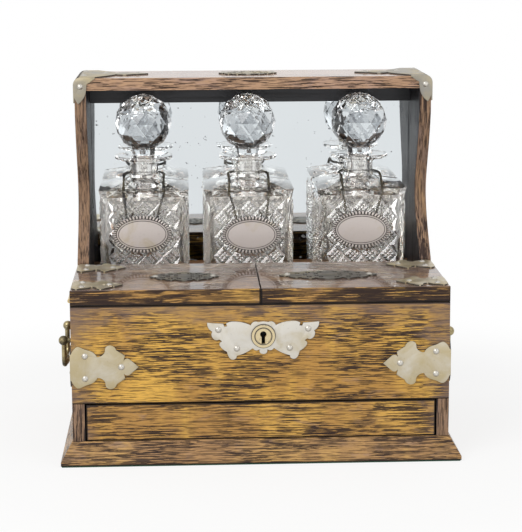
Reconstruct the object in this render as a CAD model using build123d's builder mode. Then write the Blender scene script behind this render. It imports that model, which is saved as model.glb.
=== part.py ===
from build123d import *
from math import cos, radians, sin
import os

os.makedirs("parts", exist_ok=True)

# Antique tantalus, in millimetres. The origin is on the ground, under the middle of the case.
# +X is to the right seen from the front, +Y to the back and +Z up.

# ------------------------------------------------------------------ driving dimensions: case
case_width = 350.0  # over the side panels
case_depth = 237.0  # front panel's face to the back
side_thick = 11.5
back_thick = 8.0
front_thick = 12.0
baize_thick = 1.2  # green baize under the case
lining_thick = 0.8  # baize inside the case
base_board_thick = 10.0
base_rail_thick = 12.0
runner_width = 14.0
plinth_projection = 11.0
plinth_height = 20.8
plinth_fillet = 3.7  # upright band at the plinth's foot
plinth_land = 0.8  # flat left at the plinth's top
drawer_opening_height = 35.4
front_panel_height = 92.1
dust_board_thick = 6.0
bay_height = 185.0  # top of the front panel to the hood's underside
hood_thick = 12.0
hood_depth = 92.0
hood_corner = 6.5  # round of its upper ends
edge_round = 0.8  # softened edges of the oak

# serpentine front edge of the side panels, measured from the hood's front and the lids' back
serpentine_foot = 2.0  # upright stretch above the lids
serpentine_depth = 43.0  # deepest point, behind the lids
serpentine_deep_height = 62.0  # its height above the lids
serpentine_top_drop = 24.0  # upright stretch under the hood

# ------------------------------------------------------------------ driving dimensions: well
mirror_thick = 2.5
mirror_rise = 0.5  # mirror's lower edge above the front panel
mirror_side_gap = 0.3
mirror_rail_height = 18.9
mirror_rail_thick = 11.0
platform_thick = 12.8
partition_thick = 6.0
partition_height = 31.6
divider_thick = 6.0
divider_height = 24.0
pad_margin = 1.0

# ------------------------------------------------------------------ driving dimensions: lids
lid_thick = 14.4
lid_depth = 131.5
lid_gap = 0.5  # under the lids
lid_split_gap = 0.6  # between the two lids
lid_back_gap = 0.8  # to the side panels' serpentine edge

# hinges
leaf_thick = 1.0
leaf_width = 9.0  # let into the wood
leaf_length = 34.0
hinge_setback = 25.0  # hinge's end from the lid's front and back edges
knuckle_radius = 1.8
knuckle_count = 5
knuckle_end_gap = 0.15
knuckle_wood_gap = 0.15
knuckle_swing_gap = 0.2  # a leaf stops this far from the other leaf's knuckles
hinge_pin_radius = 0.7
running_gap = 0.05  # radial, for anything that turns on a pin

# ------------------------------------------------------------------ driving dimensions: drawer
drawer_rear_space = 14.0  # left behind the shut drawer for its spring
drawer_front_thick = 10.0
drawer_side_thick = 8.0
drawer_back_thick = 8.0
drawer_bottom_thick = 4.0
drawer_bottom_rise = 2.0
drawer_side_gap = 1.2
drawer_top_gap = 0.8
drawer_foot_gap = 0.3
drawer_back_drop = 6.0  # the back is lower than the sides

spring_thick = 0.8
spring_height = 14.0
spring_half_span = 40.0
spring_foot = 12.0
spring_gap = 0.3

plunger_radius = 2.0
plunger_gap = 0.08
plunger_travel = 7.0
plunger_rest_gap = 0.3
plunger_knob_radius = 4.5
plunger_knob_height = 5.0
plunger_setback = 7.5  # its centre in front of the partition
plunger_floor_gap = 0.3
plunger_socket_spare = 1.0

# ------------------------------------------------------------------ driving dimensions: lock
lock_x = 2.0
lock_half_width = 22.6
lock_height = 46.0
lock_thick = 8.5
lock_wall = 1.0
lock_plate_thick = 1.5  # the plate in the front panel's upper edge
lock_plate_overhang = 4.0
lock_slot_gap = 0.6
link_spacing = 22.0
link_thick = 2.0
link_width = 6.0
link_drop = 9.0  # below the lid
link_plate_length = 14.0
link_plate_width = 9.0
link_plate_thick = 1.2
eye_width = 3.8
eye_height = 4.2
eye_drop = 5.5  # eye's centre below the lid
bolt_gap = 0.3
bolt_travel = 5.0
bolt_bar_height = 8.0
bolt_arm_width = 3.0
bolt_arm_length = 5.5  # prong's length from the arm
bolt_prong = 3.0
bolt_tip_gap = 0.5
bolt_bar_drop = 13.5  # top of the bar below the lid
lug_width = 5.0
key_pin_radius = 0.8
key_pin_length = 5.5

# keyhole ring and escutcheon
ring_drop = 29.5  # ring's centre below the front panel's upper edge
ring_radius = 11.3
ring_inner_radius = 7.0
ring_height = 1.8
ring_floor_thick = 0.6
keyhole_radius = 3.0
keyhole_rise = 1.5
keyhole_slot_width = 3.3
keyhole_slot_drop = 8.4

# ------------------------------------------------------------------ driving dimensions: mounts
plate_thick = 1.2
pin_head_radius = 3.0
pin_head_height = 1.7
pin_shank_radius = 0.8
pin_shank_length = 6.0
pin_gap = 0.05
strap_drop = 57.1  # strap's centre line below the front panel's upper edge
strap_length = 62.0
strap_width = 41.2
lid_strap_length = 47.0
lid_strap_width = 42.0
lid_strap_margin = 1.0  # bare wood at the lid's edges
plaque_width = 42.0
plaque_left_length = 65.0
plaque_right_length = 93.0
plaque_setback = 59.0  # plaque's centre from the lid's front edge
plaque_left_inset = 105.0  # plaque's centre from the lid's outer edge
plaque_right_inset = 108.5
hood_strap_length = 71.5
hood_centre_length = 58.0
hood_centre_width = 42.0
hood_centre_x = -4.0

# ------------------------------------------------------------------ driving dimensions: handles
handle_spacing = 68.0
handle_height_left = 99.0
handle_height_right = 103.0
ball_radius = 4.7
ball_reach = 12.4  # ball's centre from the side panel
stem_radius = 2.2
rose_radius = 6.0
rose_thick = 1.4
bail_radius = 2.4
bail_drop = 27.0
bail_corner = 8.0
bail_arm_gap = 0.4
bail_pin_radius = 1.3
bail_pin_depth = 3.0
bail_socket_spare = 0.4
grip_radius = 3.6
grip_length = 34.0

# ------------------------------------------------------------------ driving dimensions: decanters
decanter_side_gap = 7.0  # to the sides of its cell
decanter_front_gap = 6.5
decanter_back_gap = 1.5
decanter_hood_gap = 7.0  # above the stopper
decanter_wall = 6.0
decanter_floor = 9.0
decanter_corner = 7.0
decanter_offset = {"left": 1.5, "centre": -5.0, "right": -3.5}  # from the middle of its cell
shoulder_rise = 8.5
shoulder_seat = 40.0
neck_radius = 15.5
neck_height = 17.5
bore_radius = 10.0
lip_radius = 31.0
lip_thick = 5.0
lip_round = 1.6
stopper_radius = 28.5
stopper_rise = 32.5  # ball's centre above the lip
stopper_sides = 12
stopper_bands = 7
stopper_collar_radius = 13.0
plug_length = 19.0
plug_top_radius = 9.7
plug_end_radius = 9.0

# labels and their chains
label_length = 60.0
label_height = 39.5
label_panel_length = 46.5
label_panel_height = 26.5
label_thick = 0.8
label_border_thick = 1.6
label_offset = {"left": -1.9, "centre": 1.7, "right": -1.4}
label_drop = {"left": 42.5, "centre": 44.3, "right": 40.2}  # below the shoulder's edge
label_hole_x = 15.0
label_hole_radius = 1.1
link_ring_radius = 2.2
link_wire_radius = 0.5
link_play = 0.3
chain_gap = 0.3
chain_loop_radius = 19.6

# ------------------------------------------------------------------ places that follow from them
sides = {"left": -1, "right": 1}

x_side = case_width / 2
x_inner = x_side - side_thick
y_front = plinth_projection - (case_depth + plinth_projection) / 2
y_back = y_front + case_depth
y_middle = (y_front + y_back) / 2
y_panel_back = y_front + front_thick
y_back_face = y_back - back_thick
y_mirror = y_back_face - mirror_thick
y_lid_back = y_front + lid_depth
y_partition = y_lid_back - partition_thick
y_hood_front = y_back - hood_depth

z_plinth_top = baize_thick + plinth_height
z_drawer_top = z_plinth_top + drawer_opening_height
z_floor = z_drawer_top + dust_board_thick
z_case_top = z_drawer_top + front_panel_height
z_lid = z_case_top + lid_gap
z_lid_top = z_lid + lid_thick
z_hood = z_case_top + bay_height
z_hood_top = z_hood + hood_thick
z_platform = z_floor + platform_thick
z_stand = z_platform + lining_thick
z_mirror = z_case_top + mirror_rise
z_mirror_top = z_hood - mirror_rail_height

# the well's three equal cells, and the decanters that fill them up to the hood
divider_spacing = 2 * x_inner / 3
cell_width = divider_spacing - divider_thick
outer_cell_x = (x_inner + divider_spacing / 2 + divider_thick / 2) / 2
cell_x = {"left": -outer_cell_x, "centre": 0.0, "right": outer_cell_x}
decanter_x = {name: cell_x[name] + offset for name, offset in decanter_offset.items()}
decanter_width = cell_width - 2 * decanter_side_gap
decanter_depth = y_mirror - y_lid_back - decanter_front_gap - decanter_back_gap
decanter_y = y_mirror - decanter_back_gap - decanter_depth / 2
ball_top = stopper_radius * cos(radians(90 / (stopper_bands + 1)))
z_lip_top = z_hood - decanter_hood_gap - ball_top - stopper_rise
z_lip = z_lip_top - lip_thick
z_neck = z_lip - neck_height
z_shoulder = z_neck - shoulder_rise
decanter_body_height = z_shoulder - z_stand
label_z = {name: z_shoulder - drop for name, drop in label_drop.items()}

# hinges: the axis lies in the gap under the lid, just outside the wood
x_hinge = x_side + knuckle_radius + knuckle_wood_gap
z_hinge = z_case_top + lid_gap / 2
hinge_y = [y_front + hinge_setback + leaf_length / 2, y_lid_back - hinge_setback - leaf_length / 2]
knuckle_pitch = leaf_length / knuckle_count

# lock
y_lock_back = y_panel_back
y_lock_front = y_lock_back - lock_thick
z_lock_foot = z_case_top - lock_height
y_link = (y_lock_front + lock_wall + y_lock_back - lock_wall) / 2
link_x = {"left": lock_x - link_spacing / 2, "right": lock_x + link_spacing / 2}
z_ring = z_case_top - ring_drop

# drawer
x_drawer = x_inner - drawer_side_gap
z_drawer = z_plinth_top + drawer_foot_gap
z_drawer_rim = z_drawer_top - drawer_top_gap
y_drawer_back = y_back_face - drawer_rear_space
x_plunger = -(x_drawer - drawer_side_thick / 2)
plunger_y = y_partition - plunger_setback
z_plunger = z_drawer_top + plunger_rest_gap

# faces that carry mounts: the plane's x axis runs along the mount, its z axis points outward
z_strap = z_case_top - strap_drop
front_faces = {
    name: Plane(origin=(side * x_side, y_front, z_strap), x_dir=(-side, 0, 0), z_dir=(0, -1, 0))
    for name, side in sides.items()
}
side_faces = {
    name: Plane(origin=(side * x_side, y_front, z_strap), x_dir=(0, 1, 0), z_dir=(side, 0, 0))
    for name, side in sides.items()
}
escutcheon_face = Plane(origin=(lock_x, y_front, z_ring), x_dir=(1, 0, 0), z_dir=(0, -1, 0))
lid_edges = {
    "front": y_front + lid_strap_margin + lid_strap_width / 2,
    "back": y_lid_back - lid_strap_margin - lid_strap_width / 2,
}
plaque_places = {
    "left": (plaque_left_inset - x_side, plaque_left_length),
    "right": (x_side - plaque_right_inset, plaque_right_length),
}


def lid_face(side, y):
    """Top of a lid, with x running inward from the lid's outer edge."""
    origin = (side * (x_side - lid_strap_margin), y, z_lid_top)
    return Plane(origin=origin, x_dir=(-side, 0, 0), z_dir=(0, 0, 1))


def plaque_face(name):
    """Top of a lid at its plaque's centre."""
    return Plane(origin=(plaque_places[name][0], y_front + plaque_setback, z_lid_top), z_dir=(0, 0, 1))


def hood_face(side):
    """Top of the hood, with x running inward from its end at half its depth."""
    origin = (side * x_side, y_back - hood_depth / 2, z_hood_top)
    return Plane(origin=origin, x_dir=(-side, 0, 0), z_dir=(0, 0, 1))


def hood_front_face(side):
    """Front of the hood, from its upper outer corner."""
    return Plane(origin=(side * x_side, y_hood_front, z_hood_top), x_dir=(-side, 0, 0), z_dir=(0, -1, 0))


hood_centre_face = Plane(origin=(hood_centre_x, y_back - hood_depth / 2, z_hood_top), z_dir=(0, 0, 1))

# ------------------------------------------------------------------ outlines of the mounts
# Each outline is half of a symmetric strapwork plate, as runs of points: a run is one smooth
# curve, and runs meet at a corner. The straps run from x = 0 at the wood's edge to their tip.
strap_runs = [
    [(0, 12.5), (1.8, 16.2), (6, 19.6), (12, 17.4), (18.5, 15.2), (23.7, 10)],
    [(23.7, 10), (28.6, 11.4), (31, 14.6), (31.6, 18.2), (35, 20.6), (39.4, 19.4), (41.6, 16)],
    [(41.6, 16), (49.5, 11)],
    [(49.5, 11), (48.2, 6)],
    [(48.2, 6), (50.6, 7.9), (53.6, 7.4)],
    [(53.6, 7.4), (62, 0)],
]
strap_pins = [(12.6, 10.6), (12.6, -10.6), (46.0, 0.0)]
side_strap_pins = [(17.0, 9.0), (17.0, -9.0), (46.0, 0.0)]  # clear of the joint behind the front panel

escutcheon_runs = [
    [(0, 13.8), (4.6, 13.2)],
    [(4.6, 13.2), (9.2, 13.2), (11.6, 10.2)],
    [(11.6, 10.2), (17.5, 12.6), (24, 13.8), (31, 13.6), (34.3, 12.2)],
    [(34.3, 12.2), (33.4, 9.6)],
    [(33.4, 9.6), (35.8, 9.2)],
    [(35.8, 9.2), (36.8, 12.2)],
    [(36.8, 12.2), (43, 12.4), (51.6, 13.2)],
    [(51.6, 13.2), (50.8, 8.4), (47, 4.6)],
    [(47, 4.6), (47.6, 0.4), (44.5, -3.2), (40.6, -2.8)],
    [(40.6, -2.8), (38.2, -4.6)],
    [(38.2, -4.6), (40.6, -7.2), (38.6, -11), (33.6, -14.6)],
    [(33.6, -14.6), (32.4, -18.6), (29.2, -22), (25.6, -21.2), (24.6, -18.6)],
    [(24.6, -18.6), (17.5, -16.2), (9.8, -11.6)],
    [(9.8, -11.6), (7.2, -13.6), (3.6, -12.8)],
    [(3.6, -12.8), (3.1, -15.9), (0, -17.2)],
]
escutcheon_pins = [(41.4, 6.4), (-41.4, 6.4), (24.4, -11.6), (-24.4, -11.6)]

# the plaques are symmetric both ways: this quarter is in shares of the half length and width
plaque_quarter = [
    [(1.0, 0.0), (0.97, 0.16), (0.88, 0.24), (0.82, 0.16)],
    [(0.82, 0.16), (0.80, 0.42), (0.70, 0.66), (0.58, 0.60)],
    [(0.58, 0.60), (0.50, 0.80), (0.38, 0.90), (0.28, 0.70)],
    [(0.28, 0.70), (0.20, 0.88), (0.10, 0.98), (0.0, 1.0)],
]
plaque_openings = [
    (0.62, 0.30, 0.055),
    (0.40, 0.52, 0.06),
    (0.16, 0.58, 0.055),
    (0.24, 0.22, 0.05),
    (0.47, 0.12, 0.045),
]
plaque_pins = [(0.84, 0.0), (-0.84, 0.0)]

# the hood's end mounts cover the hood's whole end and come to a point at half its depth
hood_half = hood_depth / 2
hood_runs = [
    [(0, hood_half), (20, hood_half)],
    [(20, hood_half), (26, hood_half - 10), (33, hood_half - 21), (39.4, 9)],
    [(39.4, 9), (44, 14.5), (50.4, 15.5), (55, 11.5), (60, 8)],
    [(60, 8), (66, 5.6), (hood_strap_length, 0)],
]
hood_pins = [(8.5, 27.0), (8.5, -27.0), (29.0, 0.0), (61.0, 0.0)]
hood_tongue_drop = 25.0
hood_side_drop = 24.0
hood_tongue = [
    [(19.5, 0), (17.5, -2.2), (12.2, -5.4)],
    [(12.2, -5.4), (11.4, -12)],
    [(11.4, -12), (9.6, -18), (3.2, -hood_tongue_drop)],
    [(3.2, -hood_tongue_drop), (1.2, -21.5), (0, -19)],
]
hood_front_pin = (5.6, -8.0)


def pin_places(face, points):
    """Where pins stand on a plate that lies on this face."""
    return [face.location * Location((x, y, plate_thick)) for x, y in points]


def scaled(runs, x_scale, y_scale):
    """The same outline, stretched."""
    return [[(x * x_scale, y * y_scale) for x, y in run] for run in runs]


drawn_length = max(x for run in strap_runs for x, y in run)
drawn_width = 2 * max(y for run in strap_runs for x, y in run)
lid_strap_scale = (lid_strap_length / drawn_length, lid_strap_width / drawn_width)
strap_scale = (strap_length / drawn_length, strap_width / drawn_width)
sized_strap_pins = [(x * strap_scale[0], y * strap_scale[1]) for x, y in strap_pins]
sized_side_pins = [(x * strap_scale[0], y * strap_scale[1]) for x, y in side_strap_pins]
sized_lid_pins = [(x * lid_strap_scale[0], y * lid_strap_scale[1]) for x, y in strap_pins]

front_panel_pins = pin_places(escutcheon_face, escutcheon_pins)
side_panel_pins = {}
hood_board_pins = []
lid_mount_pins = {}
for name, side in sides.items():
    front_panel_pins += pin_places(front_faces[name], sized_strap_pins)
    side_panel_pins[name] = pin_places(side_faces[name], sized_side_pins)
    hood_board_pins += pin_places(hood_face(side), hood_pins)
    hood_board_pins += pin_places(hood_front_face(side), [(hood_front_pin[0], hood_front_pin[1] * -side)])
    lid_mount_pins[name] = []
    for y_mount in lid_edges.values():
        lid_mount_pins[name] += pin_places(lid_face(side, y_mount), sized_lid_pins)
    half_length = plaque_places[name][1] / 2
    plaque_pin_points = [(x * half_length, y) for x, y in plaque_pins]
    lid_mount_pins[name] += pin_places(plaque_face(name), plaque_pin_points)
hood_board_pins += pin_places(hood_centre_face, [(x * hood_centre_length / 2, y) for x, y in plaque_pins])


def draw_runs(runs):
    """Draw each run in the open line builder: two points are a straight line."""
    for run in runs:
        if len(run) == 2:
            Line(*run)
        else:
            Spline(*run)


def mirrored_runs(runs, x_sign, y_sign):
    """The outline's other half, drawn backwards so that it carries on from the first."""
    return [[(x * x_sign, y * y_sign) for x, y in reversed(run)] for run in reversed(runs)]


def drill_for_pins(places):
    """Holes for the pins' shanks in the open part builder."""
    with Locations(*places):
        Cylinder(
            pin_shank_radius + pin_gap,
            pin_shank_length + pin_gap,
            align=(Align.CENTER, Align.CENTER, Align.MAX),
            mode=Mode.SUBTRACT,
        )


def block(x_range, y_range, z_range, mode=Mode.ADD):
    """A box between two corners in the open part builder."""
    middle = [(low + high) / 2 for low, high in (x_range, y_range, z_range)]
    with Locations(tuple(middle)):
        Box(x_range[1] - x_range[0], y_range[1] - y_range[0], z_range[1] - z_range[0], mode=mode)


def draw_keyhole(mode):
    """A round eye over a slot, in the open sketch builder."""
    with Locations((0, keyhole_rise)):
        Circle(keyhole_radius, mode=mode)
    with Locations((0, keyhole_rise)):
        Rectangle(
            keyhole_slot_width,
            keyhole_slot_drop + keyhole_rise,
            align=(Align.CENTER, Align.MAX),
            mode=mode,
        )


# ------------------------------------------------------------------ case: base and plinth
with BuildPart() as baize_underlay:
    block(
        (-x_side - plinth_projection + edge_round, x_side + plinth_projection - edge_round),
        (y_front - plinth_projection + edge_round, y_back),
        (0, baize_thick),
    )
baize_underlay.part.label = "baize_underlay"
export_step(baize_underlay.part, "parts/baize_underlay.step")

with BuildPart() as base_board:
    block((-x_inner, x_inner), (y_front, y_back), (baize_thick, baize_thick + base_board_thick))
base_board.part.label = "base_board"
export_step(base_board.part, "parts/base_board.step")

z_board_top = baize_thick + base_board_thick
with BuildPart() as base_rail:
    block((-x_inner, x_inner), (y_front, y_front + base_rail_thick), (z_board_top, z_plinth_top))
base_rail.part.label = "base_rail"
export_step(base_rail.part, "parts/base_rail.step")

with BuildPart() as drawer_runners:
    for side in sides.values():
        x_ends = sorted((side * x_inner, side * (x_inner - runner_width)))
        block(x_ends, (y_front + base_rail_thick, y_back_face), (z_board_top, z_plinth_top))
drawer_runners.part.label = "drawer_runners"
export_step(drawer_runners.part, "parts/drawer_runners.step")

# the moulding's section, with x outward from the case and y up
plinth_section = [
    (0, baize_thick),
    (plinth_projection, baize_thick),
    (plinth_projection, baize_thick + plinth_fillet),
    (plinth_land, z_plinth_top),
    (0, z_plinth_top),
]
mitre = 2 * plinth_projection

with BuildPart() as plinth_front:
    with BuildSketch(Plane(origin=(0, y_front, 0), x_dir=(0, -1, 0), z_dir=(-1, 0, 0))):
        with BuildLine():
            Polyline(*plinth_section, close=True)
        make_face()
    extrude(amount=x_side + plinth_projection, both=True)
    with BuildSketch():
        for side in sides.values():
            with BuildLine():
                Polyline(
                    (side * x_side, y_front),
                    (side * (x_side + mitre), y_front - mitre),
                    (side * (x_side + mitre), y_front),
                    close=True,
                )
            make_face()
    extrude(amount=z_case_top, mode=Mode.SUBTRACT)
plinth_front.part.label = "plinth_front"
export_step(plinth_front.part, "parts/plinth_front.step")

with BuildPart() as plinth_sides:
    for side in sides.values():
        with BuildSketch(Plane(origin=(side * x_side, y_back, 0), x_dir=(side, 0, 0), z_dir=(0, -side, 0))):
            with BuildLine():
                Polyline(*plinth_section, close=True)
            make_face()
        extrude(amount=side * (case_depth + plinth_projection))
    with BuildSketch():
        for side in sides.values():
            with BuildLine():
                Polyline(
                    (side * x_side, y_front),
                    (side * x_side, y_front - mitre),
                    (side * (x_side + mitre), y_front - mitre),
                    close=True,
                )
            make_face()
    extrude(amount=z_case_top, mode=Mode.SUBTRACT)
plinth_sides.part.label = "plinth_sides"
export_step(plinth_sides.part, "parts/plinth_sides.step")

# ------------------------------------------------------------------ case: sides, back and hood
y_side_edge = y_lid_back + lid_back_gap
z_serpentine = z_lid_top + serpentine_foot
z_serpentine_top = z_hood - serpentine_top_drop
y_serpentine = y_lid_back + serpentine_depth
z_deep = z_lid_top + serpentine_deep_height
leaf_inner_x = x_side - leaf_width

for name, side in sides.items():
    with BuildPart() as side_panel:
        with BuildSketch(Plane.YZ.offset(side * (x_side - side_thick / 2))):
            with BuildLine():
                Polyline(
                    (y_hood_front, z_serpentine_top),
                    (y_hood_front, z_hood),
                    (y_back, z_hood),
                    (y_back, baize_thick),
                    (y_front, baize_thick),
                    (y_front, z_drawer_top),
                    (y_panel_back, z_drawer_top),
                    (y_panel_back, z_case_top),
                    (y_side_edge, z_case_top),
                    (y_side_edge, z_serpentine),
                )
                Spline(
                    (y_side_edge, z_serpentine),
                    (y_serpentine, z_deep),
                    (y_hood_front, z_serpentine_top),
                    tangents=[(1, 1), (-0.25, 1)],
                )
            make_face()
        extrude(amount=side_thick / 2, both=True)
        for y in hinge_y:
            x_ends = sorted((side * leaf_inner_x, side * (x_side + 1)))
            y_ends = (y - leaf_length / 2, y + leaf_length / 2)
            block(x_ends, y_ends, (z_case_top - leaf_thick, z_case_top + 1), mode=Mode.SUBTRACT)
        drill_for_pins(side_panel_pins[name])
    side_panel.part.label = f"side_panel_{name}"
    export_step(side_panel.part, f"parts/side_panel_{name}.step")

with BuildPart() as back_panel:
    block((-x_inner, x_inner), (y_back_face, y_back), (z_board_top, z_hood))
back_panel.part.label = "back_panel"
export_step(back_panel.part, "parts/back_panel.step")

with BuildPart() as well_back_lining:
    block((-x_inner, x_inner), (y_mirror, y_back_face), (z_floor, z_mirror))
well_back_lining.part.label = "well_back_lining"
export_step(well_back_lining.part, "parts/well_back_lining.step")

with BuildPart() as mirror_glass:
    x_mirror = x_inner - mirror_side_gap
    block((-x_mirror, x_mirror), (y_mirror, y_back_face), (z_mirror, z_mirror_top))
mirror_glass.part.label = "mirror_glass"
export_step(mirror_glass.part, "parts/mirror_glass.step")

with BuildPart() as mirror_rail:
    block((-x_inner, x_inner), (y_back_face - mirror_rail_thick, y_back_face), (z_mirror_top, z_hood))
mirror_rail.part.label = "mirror_rail"
export_step(mirror_rail.part, "parts/mirror_rail.step")

with BuildPart() as hood_board:
    block((-x_side, x_side), (y_hood_front, y_back), (z_hood, z_hood_top))
    fillet(hood_board.faces().sort_by(Axis.Z)[-1].edges().filter_by(Axis.Y), hood_corner)
    drill_for_pins(hood_board_pins)
hood_board.part.label = "hood_board"
export_step(hood_board.part, "parts/hood_board.step")

# ------------------------------------------------------------------ case: front panel
with BuildPart() as front_panel:
    block((-x_side, x_side), (y_front, y_panel_back), (z_drawer_top, z_case_top))
    fillet(front_panel.faces().sort_by(Axis.Y)[0].edges().filter_by(Axis.X), edge_round)
    block(
        (lock_x - lock_half_width, lock_x + lock_half_width),
        (y_lock_front, y_lock_back),
        (z_lock_foot, z_case_top),
        mode=Mode.SUBTRACT,
    )
    block(
        (lock_x - lock_half_width - lock_plate_overhang, lock_x + lock_half_width + lock_plate_overhang),
        (y_lock_front, y_lock_back),
        (z_case_top - lock_plate_thick, z_case_top),
        mode=Mode.SUBTRACT,
    )
    with BuildSketch(escutcheon_face):
        draw_keyhole(Mode.ADD)
    extrude(amount=-front_thick, mode=Mode.SUBTRACT)
    drill_for_pins(front_panel_pins)
front_panel.part.label = "front_panel"
export_step(front_panel.part, "parts/front_panel.step")

# ------------------------------------------------------------------ case: compartment and well
with BuildPart() as dust_board:
    block((-x_inner, x_inner), (y_panel_back, y_back_face), (z_drawer_top, z_floor))
    with Locations((x_plunger, plunger_y, z_floor)):
        Hole(plunger_radius + plunger_gap)
dust_board.part.label = "dust_board"
export_step(dust_board.part, "parts/dust_board.step")

with BuildPart() as well_partition:
    block((-x_inner, x_inner), (y_partition, y_lid_back), (z_floor, z_floor + partition_height))
well_partition.part.label = "well_partition"
export_step(well_partition.part, "parts/well_partition.step")

with BuildPart() as well_platform:
    block((-x_inner, x_inner), (y_lid_back, y_mirror), (z_floor, z_platform))
well_platform.part.label = "well_platform"
export_step(well_platform.part, "parts/well_platform.step")

with BuildPart() as well_dividers:
    for side in sides.values():
        x_divider = side * divider_spacing / 2
        block(
            (x_divider - divider_thick / 2, x_divider + divider_thick / 2),
            (y_lid_back, y_mirror),
            (z_platform, z_platform + divider_height),
        )
well_dividers.part.label = "well_dividers"
export_step(well_dividers.part, "parts/well_dividers.step")

with BuildPart() as baize_linings:
    block((-x_inner, x_inner), (y_panel_back, y_partition), (z_floor, z_floor + lining_thick))
    with Locations((x_plunger, plunger_y, z_floor)):
        Cylinder(plunger_radius + 1, 4 * lining_thick, mode=Mode.SUBTRACT)
    x_gap = divider_spacing / 2 - divider_thick / 2
    x_cells = [
        (-x_inner, -divider_spacing / 2 - divider_thick / 2),
        (-x_gap, x_gap),
        (divider_spacing / 2 + divider_thick / 2, x_inner),
    ]
    for x_low, x_high in x_cells:
        block(
            (x_low + pad_margin, x_high - pad_margin),
            (y_lid_back + pad_margin, y_mirror - pad_margin),
            (z_platform, z_stand),
        )
baize_linings.part.label = "baize_linings"
export_step(baize_linings.part, "parts/baize_linings.step")

# ------------------------------------------------------------------ lids
for name, side in sides.items():
    x_ends = sorted((side * lid_split_gap / 2, side * x_side))
    with BuildPart() as lid:
        block(x_ends, (y_front, y_lid_back), (z_lid, z_lid_top))
        fillet(lid.faces().sort_by(Axis.Z)[-1].edges(), edge_round)
        for y in hinge_y:
            x_leaf = sorted((side * leaf_inner_x, side * (x_side + 1)))
            y_leaf = (y - leaf_length / 2, y + leaf_length / 2)
            block(x_leaf, y_leaf, (z_lid - 1, z_lid + leaf_thick), mode=Mode.SUBTRACT)
        block(
            (link_x[name] - link_plate_length / 2, link_x[name] + link_plate_length / 2),
            (y_link - link_plate_width / 2, y_link + link_plate_width / 2),
            (z_lid, z_lid + link_plate_thick),
            mode=Mode.SUBTRACT,
        )
        drill_for_pins(lid_mount_pins[name])
    lid.part.label = f"lid_{name}"
    export_step(lid.part, f"parts/lid_{name}.step")


# ------------------------------------------------------------------ hinges
def knuckle_ranges(y_hinge, first):
    """The stretches along the barrel that one leaf's knuckles fill, from the given one."""
    start = y_hinge - leaf_length / 2
    return [
        (start + index * knuckle_pitch, start + (index + 1) * knuckle_pitch)
        for index in range(first, knuckle_count, 2)
    ]


def along_barrel(side, y_low, y_high, radius, mode=Mode.ADD):
    """A round bar on the hinge's axis in the open part builder."""
    with Locations(Plane(origin=(side * x_hinge, y_low, z_hinge), x_dir=(1, 0, 0), z_dir=(0, 1, 0)).location):
        Cylinder(radius, y_high - y_low, align=(Align.CENTER, Align.CENTER, Align.MIN), mode=mode)


def hinge_leaf(side, y_hinge, z_leaf, own_first, other_first, pin_gap_radius):
    """One leaf: a plate let into the wood, with its share of the barrel's knuckles."""
    with BuildPart() as leaf:
        x_ends = sorted((side * leaf_inner_x, side * x_hinge))
        block(x_ends, (y_hinge - leaf_length / 2, y_hinge + leaf_length / 2), (z_leaf, z_leaf + leaf_thick))
        for y_low, y_high in knuckle_ranges(y_hinge, other_first):
            swing = knuckle_radius + knuckle_swing_gap
            along_barrel(side, y_low - knuckle_end_gap, y_high + knuckle_end_gap, swing, Mode.SUBTRACT)
        for y_low, y_high in knuckle_ranges(y_hinge, own_first):
            along_barrel(side, y_low, y_high, knuckle_radius)
        y_ends = (y_hinge - leaf_length, y_hinge + leaf_length)
        along_barrel(side, *y_ends, hinge_pin_radius + pin_gap_radius, Mode.SUBTRACT)
    return leaf.part


case_leaves = [
    hinge_leaf(side, y, z_case_top - leaf_thick, 0, 1, 0) for side in sides.values() for y in hinge_y
]
with BuildPart() as case_hinge_leaves:
    add(case_leaves)
case_hinge_leaves.part.label = "case_hinge_leaves"
export_step(case_hinge_leaves.part, "parts/case_hinge_leaves.step")

for name, side in sides.items():
    lid_leaves = [hinge_leaf(side, y, z_lid, 1, 0, running_gap) for y in hinge_y]
    with BuildPart() as lid_hinge_leaves:
        add(lid_leaves)
    lid_hinge_leaves.part.label = f"lid_hinge_leaves_{name}"
    export_step(lid_hinge_leaves.part, f"parts/lid_hinge_leaves_{name}.step")

with BuildPart() as hinge_pins:
    for side in sides.values():
        for y in hinge_y:
            along_barrel(side, y - leaf_length / 2, y + leaf_length / 2, hinge_pin_radius)
hinge_pins.part.label = "hinge_pins"
export_step(hinge_pins.part, "parts/hinge_pins.step")

# ------------------------------------------------------------------ lock
y_bolt = (y_lock_front + lock_wall + bolt_gap, y_lock_back - lock_wall - bolt_gap)
z_bolt_top = z_lid - bolt_bar_drop
z_bolt = z_bolt_top - bolt_bar_height
z_eye = z_lid - eye_drop
x_cavity = (lock_x - lock_half_width + lock_wall, lock_x + lock_half_width - lock_wall)

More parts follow.
